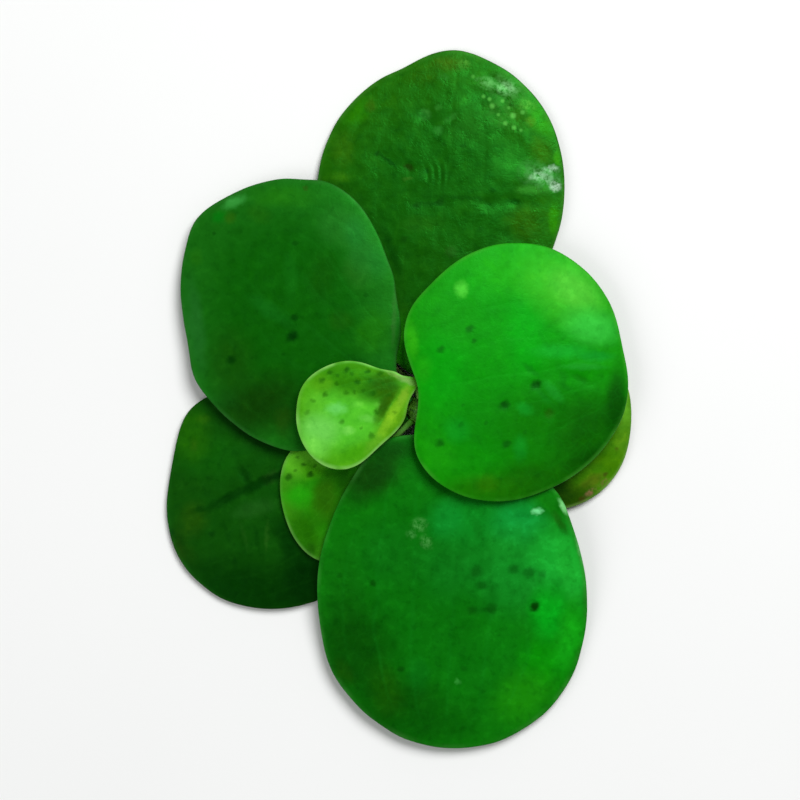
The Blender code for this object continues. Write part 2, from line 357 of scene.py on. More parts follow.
def middleHeights(leaf, offsets, share):
    # how high the middle of the blade's thickness lies
    angle = baseAngle(leaf)
    inward = offsets[..., 0] * math.cos(angle) + offsets[..., 1] * math.sin(angle)
    across = offsets[..., 1] * math.cos(angle) - offsets[..., 0] * math.sin(angle)
    slope = leaf["rise"] * inward + leaf["roll"] * across
    climb = leaf["climb"] * softStep(inward, blade["climbStart"], blade["climbEnd"])
    return leaf["lift"] + slope + climb - leaf["dome"] * share ** 2


def leafPlaces(leaf, offsets):
    # for points in plan: -1 to 1 from side to side, 0 to 1 out to the rim, and how much of its
    # widest part the blade has there
    rim = rimOffsets(leaf, np.linspace(0, 2 * np.pi, blade["rimSteps"] + 1)[:-1])
    heading = np.arctan2(rim[:, 1], rim[:, 0])
    order = np.argsort(heading)
    reach = np.hypot(rim[:, 0], rim[:, 1])[order]
    here = np.arctan2(offsets[:, 1], offsets[:, 0])
    rimThere = np.interp(here, heading[order], reach, period=2 * np.pi)
    share = np.hypot(offsets[:, 0], offsets[:, 1]) / rimThere
    aside = here - baseAngle(leaf)
    along = np.clip(share, 0, 1) * np.cos(aside)
    room = np.sqrt(np.clip(1 - along ** 2, 0.02, 1))
    waver = blade["veinWaver"] * planField(offsets, 0, blade["veinWaverSize"], 3)
    return np.clip(share, 0, 1) * np.sin(aside) / room + waver, share, room


def veinOffset(leaf, side, room):
    # from each point to the nearest vein
    spacing = blade["veinSpacing"]
    return np.abs((side / spacing + 0.5) % 1 - 0.5) * spacing * leaf["width"] / 2 * room


def surfaceRelief(leaf, flat, share, room, side):
    # what the fine surface adds to the height of the upper face
    x, y = flat.T
    groove = bell(veinOffset(leaf, side, room) / blade["veinHalfWidth"])
    groove = groove * softStep(1 - share, *blade["veinFade"])
    relief = -blade["veinDepth"] * leaf["veins"] * groove
    for start, end, width, depth in leaf["creases"]:
        away, run = segmentDistance(flat, start, end)  # shallower at both ends
        relief -= depth * bell(away / width) * np.sin(np.pi * np.clip(run * 0.86 + 0.07, 0, 1))
    for dentX, dentY, reach, depth in leaf["dents"]:
        relief -= depth * bell(np.hypot(x - dentX, y - dentY) / reach)
    for ringX, ringY, spacing, inner, outer, toward, spread, depth in leaf["ripples"]:
        away = np.hypot(x - ringX, y - ringY)
        heading = wrapped(np.arctan2(y - ringY, x - ringX) - math.radians(toward))
        inside = softStep(away, inner - 0.6, inner + 0.4) * softStep(-away, -outer - 0.6, -outer + 0.6)
        inside = inside * bell(heading / math.radians(spread))
        relief += depth * np.cos(2 * np.pi * away / spacing) * inside
    return relief


def bladeShell(leaf, seed):
    # top middle, rings out to the rim, rings back in below, low middle
    sides = blade["segments"]
    rim = rimOffsets(leaf, np.arange(sides) * 2 * np.pi / sides)
    steps = np.concatenate([
        np.linspace(0, 90, blade["topRings"] + 1)[1:],
        np.linspace(90, 180, blade["lowRings"] + 1)[1:-1],
    ])
    share = np.repeat(np.sin(np.radians(steps)), sides)
    level = np.repeat(np.cos(np.radians(steps)), sides)
    level[np.abs(level) < 1e-9] = 0.0
    offsets = np.tile(rim, (len(steps), 1)) * share[:, None]
    share = np.concatenate([[0.0], share, [0.0]])
    level = np.concatenate([[1.0], level, [-1.0]])
    offsets = np.vstack([[0.0, 0.0], offsets, [0.0, 0.0]])
    wobble = planField(offsets, seed, blade["rimWobbleSize"], seed)
    offsets = offsets * (1 + blade["rimWobble"] * wobble * share ** 3 / (leaf["width"] / 2))[:, None]
    flat = offsets + np.array(leaf["centre"])
    side, _, room = leafPlaces(leaf, offsets)

    middle = middleHeights(leaf, offsets, share)
    wave = planField(flat, 0, blade["waveSize"], seed)
    middle = middle + leaf["wave"] * wave * softStep(share, *blade["waveFade"])
    heading = np.arctan2(offsets[:, 1], offsets[:, 0])
    for toward, spread, width, height in leaf["lips"]:
        away = wrapped(heading - math.radians(toward)) / math.radians(spread)
        middle = middle + height * np.exp(-(((1 - share) / width) ** 2) - away ** 2)

    rounding = np.abs(level) ** blade["edgeRounding"]
    depth = rounding * leaf["halfThickness"] * (1 - blade["edgeThinning"] * share ** 4)
    crinkle = planField(flat, 3, blade["crinkleSize"], seed + 5)
    crinkle += 0.5 * planField(flat, 8, blade["fineCrinkleSize"], seed + 7)
    upper = middle + depth + surfaceRelief(leaf, flat, share, room, side) * (level > 0)
    upper = upper + leaf["crinkle"] * crinkle * softStep(1 - share, *blade["crinkleFade"])

    # below: the spongy pad with its air cells, and ribs out to the rim
    under = level < 0
    cells = np.zeros(len(flat))
    cells[under] = cellField(flat[under], blade["cellSize"], seed)
    padShare = softStep(blade["padShare"] - share, *blade["padFade"]) * leaf["cells"]
    lower = middle - depth - leaf["cushion"] * bell(share / blade["cushionReach"]) * rounding
    lower = lower + blade["cellHeight"] * padShare * (1 - softStep(cells, *blade["wallFade"]))
    ridge = bell(veinOffset(leaf, side, room) / blade["underVeinHalfWidth"])
    ridge = ridge * softStep(share, *blade["ribFade"]) * softStep(1 - share, *blade["ribEndFade"])
    lower = np.maximum(0.0, lower - blade["underVeinHeight"] * ridge)

    points = np.column_stack([flat, np.where(level > 0, upper, np.where(level < 0, lower, middle))])
    faces = gridFaces(len(steps), sides, 1)
    last = len(points) - 1
    for here in range(sides):
        after = (here + 1) % sides
        faces.append((0, 1 + after, 1 + here))
        faces.append((last, last - sides + here, last - sides + after))
    return points, [face[::-1] for face in faces]


def stalkShell(leaf):
    # from inside the crown's skin to under the blade
    angle = baseAngle(leaf)
    heading = np.array((math.cos(angle), math.sin(angle)))
    reach = np.hypot(*rimOffsets(leaf, np.array([angle - math.radians(leaf["turn"])]))[0])
    innerShare = leaf["stalkEdge"] - stalk["edgeShare"] + stalk["reachShare"]
    ends = []
    for share, sink in ((innerShare, 0.0), (leaf["stalkEdge"], leaf["stalkSink"])):
        offset = heading * reach * share
        ends.append(np.array([*(offset + leaf["centre"]), middleHeights(leaf, offset, share) - sink]))
    inner, edge = ends
    middle = np.array(crownLook["centre"][:2])
    toward = edge[:2] - middle
    toward /= np.hypot(*toward)
    radius = crownReach(leaf["stalkHeight"], leaf["stalkRadius"]) - stalk["rootedIn"]
    start = np.array([*(middle + toward * radius), leaf["stalkHeight"]])
    route = smoothRoute([start, (start + edge) / 2, edge, inner], stalk["steps"])
    radii = leaf["stalkRadius"] * np.linspace(1, stalk["endShare"], len(route))
    return tubeShell(route, radii, stalk["sides"], stalk["ridges"], stalk["ridgeDepth"])


def leafPiece(name, leaf, seed):
    # blade and stalk in one skin; each point keeps its place on the leaf and how far it faces down
    blank = newMesh(name + "Blade", *bladeShell(leaf, seed))
    skin = weld(name, blank, newMesh(name + "Stalk", *stalkShell(leaf)))
    points = np.empty(len(skin.vertices) * 3, np.float32)
    normals = np.empty(len(skin.vertices) * 3, np.float32)
    skin.vertices.foreach_get("co", points)
    skin.vertex_normals.foreach_get("vector", normals)
    flat = points.reshape(-1, 3)[:, :2] / mm - np.array(leaf["centre"])
    side, share, _ = leafPlaces(leaf, flat)
    below = softStep(-normals.reshape(-1, 3)[:, 2], -0.25, 0.35)
    holder = skin.attributes.new("leafPlace", "FLOAT_VECTOR", "POINT")
    holder.data.foreach_set("vector", np.column_stack([side, share, below]).astype(np.float32).ravel())
    return newPiece(name, skin)


# What all leaves share in their paint.
tissue = {
    "driftScale": 0.35, "frayScale": 1.7, "fray": 0.6, "smallPatch": 1.2, "grainScale": 1.1,
    "blotchScale": 0.75, "darker": (0.42, 0.6, 0.42, 1.0), "lighter": (1.9, 1.45, 1.9, 1.0),
    "netScale": 0.75, "netWidth": 0.07, "veinWidth": 0.1, "fleckScale": 1.6, "edgeScale": 0.3,
    "spongeScale": 0.87, "spongeWidth": 0.16, "spongeMiddle": (176, 198, 138), "sheenScale": 0.8,
    "underRoughness": 0.2, "specular": 0.4, "glossTint": (0.06, 0.85, 0.08, 1.0), "skinScale": 3.2,
    "skinBump": 0.25, "veinBump": 0.12, "netBump": 0.08, "bumpStrength": 0.6,
}


def upperColour(leaf, place, share, grain, veins, net):
    # big patches have wandering edges, small ones frayed edges
    bent = shifted(place, tissue["driftScale"], leaf["drift"])
    frayed = shifted(place, tissue["frayScale"], tissue["fray"])
    colour = blend(ramp(share, 0.45, 1.0), paint(*leaf["middle"]), paint(*leaf["rim"]))
    for *spot, amount, tint in leaf["patches"]:
        edges = bent if min(spot[2:4]) > tissue["smallPatch"] else frayed
        colour = blend(patchMask(edges, spot, amount), colour, paint(*tint))

    # veins: a shade paler than the blade between them
    for field, amount in ((veins, leaf["veinTint"]), (net, leaf["netTint"])):
        colour = blend(times(field, amount), colour, paint(*leaf["vein"]))

    # uneven tissue, lighter and darker
    blotch = speckle(place, tissue["blotchScale"], 4.0, 0.6)
    for field, start, end, tint in (
        (blotch, 0.5, 0.68, "darker"),
        (grain, 0.52, 0.72, "darker"),
        (blotch, 0.48, 0.32, "lighter"),
    ):
        colour = blend(ramp(field, start, end, 0.0, leaf["mottle"]), colour, tissue[tint], "MULTIPLY")
    colour = blend(1.0, colour, (*leaf["tone"], 1.0), "MULTIPLY")

    # flecks of colour, which on the top leaf are painted highlights, the glare of its crinkled wet
    # skin; round pale dots, painted glints on that wet skin; dark specks
    size = ramp(speckle(place, tissue["fleckScale"], 4.0, 0.7), 0.34, 0.66)
    for *spot, amount, tint in leaf["flecksAndGlints"]:
        colour = blend(times(times(patchMask(frayed, spot), size), amount), colour, paint(*tint))
    for x, y, reach, amount in leaf["glintDots"]:
        colour = blend(patchMask(place, (x, y, reach, reach), amount), colour, paint(*leaf["dot"]))
    for x, y, reach, amount in leaf["specks"]:
        spot = (x, y, reach * 0.9, reach * 0.75, 30)
        colour = blend(patchMask(frayed, spot, amount), colour, paint(*leaf["speck"]))

    # the very edge is thin and paler
    line = ramp(share, leaf["rimStart"], 1.0, 0.0, leaf["rimLine"])
    uneven = ramp(speckle(place, tissue["edgeScale"]), 0.4, 0.6, 0.2, 1.0)
    return blend(times(line, uneven), colour, paint(*leaf["edge"]))


def underColour(leaf, place, share, grain, veins):
    # pale spongy tissue with air cells, and ribs round it
    pale, wall, upper = (paint(*leaf[key]) for key in ("under", "underWall", "middle"))
    pad = ramp(share, 0.92, 0.5)
    walls = ramp(wallDistance(place, tissue["spongeScale"]), tissue["spongeWidth"], 0.0)
    colour = blend(pad, wall, pale)
    colour = blend(ramp(share, 0.6, 0.1, 0.0, 0.5), colour, paint(*tissue["spongeMiddle"]))
    colour = blend(times(walls, ramp(pad, 0.1, 0.9, 0.0, 0.6)), colour, wall)
    colour = blend(times(veins, ramp(pad, 0.7, 0.0, 0.0, 0.35)), colour, pale)
    return blend(ramp(grain, 0.4, 0.7, 0.0, 0.4), colour, upper)


def leafPaint(name, leaf):
    material, shader, place = startPaint(name)
    holder = material.node_tree.nodes.new("ShaderNodeAttribute")
    holder.attribute_name = "leafPlace"
    side, share, below = addNode("SeparateXYZ", {0: holder.outputs["Vector"]}).node.outputs
    grain = speckle(place, tissue["grainScale"], 4.0, 0.6)
    fold = calc("PINGPONG", calc("DIVIDE", side, blade["veinSpacing"]), 0.5)
    veins = ramp(fold, tissue["veinWidth"], 0.0)
    inner = times(veins, ramp(share, 0.97, 0.7))
    net = ramp(wallDistance(place, tissue["netScale"]), tissue["netWidth"], 0.0)
    upper = upperColour(leaf, place, share, grain, inner, net)
    colour = blend(below, upper, underColour(leaf, place, share, grain, veins))

    # gloss
    wire(shader, {"Specular IOR Level": tissue["specular"], "Specular Tint": tissue["glossTint"]})
    sheen = ramp(speckle(place, tissue["sheenScale"], 3.0), 0.3, 0.7, *leaf["roughness"])
    roughness = calc("ADD", sheen, times(below, tissue["underRoughness"]))

    # fine surface: skin cells, vein grooves and crinkles
    cells = addNode("TexVoronoi", {"Vector": place, "Scale": tissue["skinScale"]}, feature="SMOOTH_F1")
    height = calc("ADD", times(cells, tissue["skinBump"]), times(grain, leaf["bumps"]))
    height = calc("SUBTRACT", height, times(inner, tissue["veinBump"]))
    height = calc("SUBTRACT", height, times(net, tissue["netBump"]))
    finishPaint(shader, colour, roughness, height, tissue["bumpStrength"], leaf["bumpHeight"])
    return material


# What a leaf is where its own dictionary says nothing else. The middle lies at lift; rise, roll
# and climb tilt the blade, dome lowers its rim, notch pulls the rim in at the stalk, egg makes one
# end wider, and cushion is the depth of the spongy pad. In the lists:
# bulges: direction, spread, how far the rim is pushed out; creases: from, to, width, depth;
# dents: place, reach, depth; ripples: place, spacing, inner and outer reach, direction, spread,
# depth; lips: direction, spread, share of the blade, height; patches and flecks: place, reach
# across and up, turn if it has one, strength, colour; dots and specks: place, reach, strength.
# Patches and flecks hold the leaves' own colours and also painted highlights, sheen and shade;
# dots are painted glints on wet skin.
plainLeaf = {
    "halfThickness": 0.45, "stalkRadius": 0.62, "stalkEdge": 0.97, "stalkSink": 0.25,
    "lobe": 0.0, "lobeTurn": 0.0, "climb": 0.0, "roll": 0.0, "wave": 0.08, "crinkle": 0.015,
    "veins": 1.0, "cells": 1.0, "bulges": (), "creases": (), "dents": (), "ripples": (), "lips": (),
    "drift": 1.6, "mottle": 0.25, "veinTint": 0.05, "netTint": 0.05, "rimStart": 0.96, "rimLine": 0.5,
    "roughness": (0.3, 0.42), "bumps": 0.4, "bumpHeight": 0.04, "patches": (), "flecksAndGlints": (), "glintDots": (),
    "specks": (),
}

smallLeaf = {
    **plainLeaf,
    "halfThickness": 0.3, "stalkRadius": 0.36, "cells": 0.25, "wave": 0.03, "dome": 0.1, "cushion": 0.0,
}

lowerLeftLeaf = {
    **plainLeaf,
    "node": "leaf_lower_left", "slot": "leaf_lower_left_green", "centre": (-14.8, -11.95), "length": 24.6,
    "width": 25.1, "turn": 215.7, "egg": -0.1, "roundness": 2, "notch": 1.6, "lift": 1.2, "rise": 0.02,
    "dome": 0.4, "cushion": 1.05, "stalkHeight": 1.9, "bulges": ((128, 22, 1.9), (-108, 25, 0.2)),
    "creases": (
        ((-13.9, -8.6), (-17.2, -10.2), 0.7, 0.16), ((-17, -10.1), (-20.9, -12), 0.8, 0.14),
        ((-17, -10.2), (-18.4, -7.5), 0.6, 0.1), ((-17.4, -11), (-16.2, -18), 0.6, 0.05),
        ((-15.6, -11), (-14.9, -17.5), 0.6, 0.05), ((-18.8, -12), (-20.4, -17), 0.6, 0.05),
    ),
    "tone": (1, 0.94, 0.8), "middle": (12, 70, 5), "rim": (14, 68, 4), "edge": (30, 76, 16),
    "vein": (22, 84, 14), "speck": (3, 40, 2), "under": (104, 138, 72), "underWall": (52, 92, 34),
    "rimLine": 0.3, "mottle": 0.42, "veinTint": 0.1,
    "patches": (
        (-22, -6.5, 6, 4, 0.6, (14, 88, 6)), (-24.2, -4, 3.2, 4.5, 15, 0.85, (30, 96, 3)),
        (-23.7, -5.2, 0.7, 1.2, 0.25, (50, 86, 10)), (-22.6, -2.2, 1.2, 0.8, 0.35, (44, 100, 8)),
        (-24, -13.8, 2.4, 2.8, 0.8, (30, 74, 4)), (-25.6, -17.4, 1.4, 1.6, 20, 0.7, (48, 70, 4)),
        (-16.8, -12.4, 3.6, 1.5, 10, 0.8, (27, 86, 23)), (-14.9, -8.9, 1.6, 0.9, 35, 0.7, (34, 76, 24)),
        # painted shadow: the dark band at (-16.5, -3.6) under the left leaf's lower edge
        (-16.5, -3.6, 6, 2.2, -28, 0.85, (7, 48, 1)), (-18, -22, 11, 5.6, -10, 1, (3, 44, 0)),
        # painted shadow: the very dark patch at (-11.2, -20.6), where the bottom leaf overhangs
        (-25.4, -17, 2.6, 4.4, 25, 0.8, (16, 50, 1)), (-11.2, -20.6, 4.2, 6, 1, (1, 33, 0)),
        # painted shade: the dark strip at (-13, -16.2) beside the second young leaf's edge
        (-13, -16.2, 1.6, 4.2, 24, 0.9, (3, 44, 2)), (-15.3, -15.6, 0.4, 2.6, -4, 0.5, (34, 86, 20)),
        (-17.9, -15.6, 0.4, 2.4, 14, 0.4, (28, 82, 18)), (-16.4, -16, 0.45, 2.8, 8, 0.6, (4, 54, 1)),
        # painted shade: from (-16.4, -9.7) on, dark marks in the X-shaped crease
        (-19.8, -15.4, 0.5, 2.2, 20, 0.5, (6, 56, 3)), (-16.4, -9.7, 4.8, 0.9, 24, 0.85, (1, 38, 0)),
        (-20.2, -11.5, 3.4, 0.9, 28, 0.8, (2, 42, 1)), (-17.7, -8.8, 0.8, 2.8, 25, 0.8, (2, 42, 0)),
        (-14, -8.6, 1.6, 0.6, 25, 0.8, (0, 28, 0)), (-23, -12.6, 1.6, 0.5, 15, 0.6, (2, 50, 1)),
    ),
    "specks": (
        (-26.5, -15.2, 0.9, 0.9), (-21.6, -15.4, 0.7, 0.6), (-19, -18.6, 0.7, 0.4), (-21.8, -9, 0.7, 0.3),
    ),
}

topLeaf = {
    **plainLeaf,
    "node": "leaf_top", "slot": "leaf_top_green", "centre": (4.9, 21.7), "length": 37.1, "width": 28.5,
    "turn": 84.3, "egg": 0.17, "roundness": 1.76, "lobe": -0.3, "lobeTurn": -11.4, "notch": -0.9,
    "lift": 1.4, "rise": 0.03, "dome": 0.5, "cushion": 1.2, "stalkHeight": 2.2, "wave": 0.14,
    "crinkle": 0.075, "bulges": ((20, 50, -0.35), (88, 10, 0.35), (105, 7, -0.25), (135, 20, 0.35)),
    "creases": (
        ((0.5, 22.8), (7.4, 22.5), 0.7, 0.06), ((7, 22.6), (17.6, 22.9), 0.8, 0.065),
        ((-2.6, 28.3), (0.8, 26.7), 0.5, 0.05), ((14.6, 26.9), (18.2, 24.2), 0.5, 0.12),
        ((15.2, 27.7), (18.4, 25.7), 0.45, 0.1), ((9.4, 35.3), (13.4, 34.6), 0.5, 0.1),
        ((10.2, 37.4), (13, 35.4), 0.45, 0.1),
    ),
    "ripples": ((1.2, 25.8, 0.8, 1.6, 4.2, 0, 40, 0.03),),
    "dents": (
        (1, 26.7, 0.7, 0.07), (3, 26.3, 0.55, 0.06), (13.2, 22.8, 0.8, 0.04), (10.1, 22.6, 0.6, 0.04),
        (13.4, 32.4, 0.7, 0.08), (12, 34.2, 0.6, 0.07), (10.6, 33.2, 0.5, 0.06), (2.8, 32.8, 0.8, 0.07),
        (4.4, 31, 0.7, 0.05), (5.8, 32.4, 0.7, 0.05),
    ),
    "tone": (1.03, 0.87, 0.8), "middle": (16, 88, 6), "rim": (28, 98, 5), "edge": (64, 128, 40),
    "vein": (34, 112, 26), "speck": (8, 48, 2), "under": (112, 150, 80), "underWall": (56, 104, 38),
    "dot": (86, 168, 66), "mottle": 0.45, "bumps": 0.9, "bumpHeight": 0.07, "roughness": (0.24, 0.42),
    "patches": (
        # painted light: the bright patch at (0.9, 5.6) lightens the base where it lies in deep shade
        # between the left and right leaves
        (4, 16, 7, 4, 0.5, (18, 82, 2)), (0.9, 5.6, 3.4, 5, 1, (54, 206, 18)),
        (3.2, 37.6, 3.8, 1.7, 18, 0.6, (34, 88, 2)), (5.8, 38.8, 3, 1.4, 0.7, (52, 88, 2)),
        (-4.9, 33.2, 1.7, 2.8, -38, 0.85, (38, 126, 2)), (-3.4, 33.8, 0.9, 1.1, 0.45, (52, 84, 6)),
        (-6.6, 28.8, 2, 2.8, 10, 0.8, (44, 106, 8)), (-6.9, 25.6, 1.6, 0.9, 0.6, (52, 124, 10)),
        # painted highlight: the bright green along the right edge at (16.2, 32.4), (18.1, 27.9) and (17.7,
        # 20.8), and the pale sheen at (15, 24.1) beside the glare
        (16.2, 32.4, 1.8, 3.2, 32, 0.95, (42, 142, 2)), (10.4, 34.2, 3.2, 2.6, 0.5, (14, 68, 4)),
        (13.6, 32.2, 1.8, 1.9, 0.85, (32, 92, 2)), (15, 32, 0.9, 0.8, 0.55, (70, 112, 4)),
        (12.6, 27.2, 3, 2.8, 0.8, (32, 130, 30)), (16.4, 28.7, 2.1, 1.9, 0.85, (44, 102, 0)),
        (18.1, 27.9, 0.7, 1.4, 0.8, (48, 146, 6)), (7.6, 31.4, 3.4, 2.4, 0.35, (32, 106, 22)),
        (2.4, 20.3, 3.6, 1.4, 0.35, (34, 104, 14)), (14.4, 20.4, 3.2, 3, 0.85, (38, 90, 0)),
        # painted shadow: the dark strip at (-0.9, 17) beside the left leaf's edge
        (17.7, 20.8, 0.9, 2.6, 0.9, (44, 140, 0)), (-0.9, 17, 0.9, 4.5, 20, 0.7, (6, 62, 2)),
        (15, 24.1, 2.4, 0.8, -4, 0.8, (46, 132, 36)), (5.9, 17, 1, 1, 0.3, (44, 96, 36)),
        (13.2, 22.8, 1.2, 0.6, -10, 0.9, (4, 60, 0)), (10.1, 22.5, 0.7, 0.8, 0.8, (6, 62, 0)),
        # painted shade: the thin dark lines at (7.4, 23.2) and (3.4, 22.5) lie in the crease
        (10.6, 24.1, 0.7, 0.5, 0.6, (6, 62, 0)), (7.4, 23.2, 5.4, 0.4, -3, 0.6, (8, 66, 2)),
        (3.4, 22.5, 2.6, 0.5, 0.7, (8, 64, 2)), (2.8, 32.8, 1.1, 0.9, 0.5, (52, 138, 54)),
        (2.8, 32.7, 0.5, 0.45, 0.7, (22, 96, 20)), (4.4, 31, 0.8, 0.8, 0.6, (46, 134, 48)),
        (5.8, 32.4, 1.3, 0.5, 32, 0.55, (44, 128, 42)), (4.4, 33.6, 0.7, 0.6, 0.5, (44, 128, 42)),
        (-1.2, 27.4, 1.9, 0.32, -38, 0.8, (5, 58, 2)), (1, 26.7, 0.9, 0.6, -20, 0.85, (22, 50, 4)),
        # painted shade and light: the pale mark at (0.9, 25.4) and the thin dark arcs at (3.9, 25.6), (4.7,
        # 25.9) and (2.3, 25.9) follow the ripples
        (0.9, 25.4, 0.8, 0.35, 0.5, (52, 112, 30)), (3, 26.3, 0.65, 0.6, 0.85, (5, 56, 2)),
        (3.9, 25.6, 0.3, 1.3, -6, 0.3, (8, 62, 2)), (4.7, 25.9, 0.3, 1.5, -4, 0.3, (8, 62, 2)),
        (2.3, 25.9, 0.3, 1.2, 4, 0.3, (8, 62, 2)),
    ),
    # painted highlights: these pale flecks are the glare of the crinkled wet skin
    "flecksAndGlints": (
        (11.8, 33.2, 2.6, 2.8, 0.45, (60, 128, 42)), (12.4, 36.1, 3, 2.3, -15, 0.7, (74, 148, 66)),
        (10, 36.5, 1.7, 1, -10, 0.75, (102, 180, 96)), (12.2, 35.9, 1.7, 1.1, -10, 0.8, (134, 204, 132)),
        (14.6, 33.9, 1.5, 1.2, 0.75, (88, 172, 56)), (7.4, 38.7, 0.9, 0.7, 0.8, (86, 154, 50)),
        (5, 37, 0.8, 0.7, 0.5, (52, 120, 44)), (16, 25.8, 3.4, 2.2, -20, 0.6, (80, 152, 78)),
        (16.8, 25.6, 2.2, 1.2, -25, 0.6, (140, 202, 146)), (17.9, 24.6, 0.9, 0.9, 0.9, (200, 232, 206)),
        (17.4, 26.6, 1.3, 0.6, 0.7, (184, 226, 192)), (15.7, 25.7, 1.2, 0.6, 10, 0.65, (170, 216, 174)),
    ),
    # painted glints: round pale dots on the wet skin
    "glintDots": (
        (10.6, 33.8, 0.45, 0.8), (13, 32.7, 0.5, 1), (12.1, 31.8, 0.4, 0.8), (13.1, 31.3, 0.4, 0.7),
        (10.3, 34.6, 0.35, 0.7), (11.8, 34.4, 0.35, 0.7), (9.6, 34.9, 0.35, 0.6), (11.3, 32.8, 0.3, 0.6),
        (14.1, 33.1, 0.4, 0.7), (12.5, 33.6, 0.3, 0.6), (8.4, 37.2, 0.35, 0.5), (13.9, 31, 0.3, 0.5),
    ),
    "specks": (
        (1.9, 22.3, 0.8, 0.75), (4.6, 22.6, 0.9, 0.75), (7.3, 29.2, 0.6, 0.5), (-2.6, 28.3, 0.6, 0.7),
        (0.4, 18.4, 0.8, 0.45), (9.2, 19.6, 0.7, 0.35), (5, 29.4, 0.5, 0.35), (12.8, 34, 0.5, 0.5),
    ),
}

yellowingLeaf = {
    **plainLeaf,
    "node": "leaf_yellowing", "slot": "leaf_yellowing_olive", "centre": (16.6, -2.3), "length": 20.4,
    "width": 21, "turn": 0, "egg": -0.05, "roundness": 2.2, "notch": 2.2, "lift": 1.25, "rise": 0.015,
    "dome": 0.4, "cushion": 1, "stalkHeight": 1.9, "crinkle": 0.05, "bulges": ((-10, 22, -0.25),),
    "tone": (0.93, 1, 0.75), "middle": (54, 108, 6), "rim": (66, 124, 8), "edge": (130, 172, 82),
    "vein": (90, 134, 20), "speck": (62, 46, 14), "under": (132, 150, 76), "underWall": (92, 110, 36),
    "mottle": 0.4, "bumps": 0.8, "bumpHeight": 0.06,
    "patches": (
        (25.7, -4.5, 1.3, 3.2, -6, 0.7, (84, 136, 20)), (25.6, -0.4, 1.3, 3.4, 4, 0.95, (106, 172, 44)),
        (24.4, -7.2, 2.2, 2, 0.7, (66, 120, 0)), (22, -9.4, 2.4, 1, 28, 0.7, (92, 104, 22)),
        # painted shadow: the dark patch at (18.6, -10.6) beside the right leaf's lower edge
        (20.4, -11, 3.2, 2.2, 20, 0.9, (40, 72, 2)), (18.6, -10.6, 2, 3, 30, 0.8, (22, 56, 4)),
    ),
    "flecksAndGlints": (
        (22.2, -10.5, 1.5, 0.6, 30, 0.9, (140, 98, 74)), (23.6, -9.4, 0.9, 0.5, 40, 0.8, (122, 84, 60)),
    ),
    "specks": ((21, -11.5, 0.8, 0.7), (23.6, -8.6, 0.5, 0.6), (24.9, -5.6, 0.4, 0.4)),
}

secondYoungLeaf = {
    **smallLeaf,
    "node": "leaf_second_young", "slot": "leaf_second_young_lime", "centre": (-7.6, -11.1), "length": 15,
    "width": 12.5, "turn": 259.1, "egg": -0.22, "roundness": 2, "notch": 0.8, "lift": 2.48, "rise": 0.04,
    "stalkHeight": 3, "tone": (0.95, 0.95, 0.8), "middle": (36, 136, 8), "rim": (60, 142, 20),
    "edge": (116, 168, 84), "vein": (70, 166, 34), "speck": (22, 76, 3), "under": (140, 190, 96),
    "underWall": (84, 146, 52), "rimStart": 0.93,
    "patches": (
        (-11, -15.2, 3, 4, 10, 0.95, (32, 102, 0)), (-8.4, -11.2, 2.2, 4.6, -10, 0.95, (40, 96, 3)),
        (-5.9, -10, 2.2, 3.2, 10, 0.85, (20, 66, 0)), (-11.7, -11, 2.6, 1.8, 0.9, (36, 158, 10)),
        # the pale top from (-12, -7.2) to (-9, -7) is the leaf's own paler end, brightened further with
        # painted light where the left and young leaves' shadows fall
        (-12, -7.2, 2.6, 2.3, 40, 0.95, (92, 184, 38)), (-10.2, -7.6, 2.4, 2, 0.85, (74, 166, 16)),
        (-10.6, -6.4, 2.2, 1.2, 0.8, (100, 196, 42)), (-9, -7, 1.7, 1.2, 0.8, (92, 186, 36)),
        (-10.2, -17.2, 1, 1.2, 0.8, (24, 78, 2)),
    ),
    "specks": (
        (-12.8, -8.8, 0.8, 0.8), (-10.3, -8.5, 0.7, 0.9), (-11, -7.4, 0.5, 0.7), (-11.7, -6.5, 0.45, 0.5),
        (-12, -8.1, 0.4, 0.5), (-9.8, -7.5, 0.45, 0.6),
    ),
}

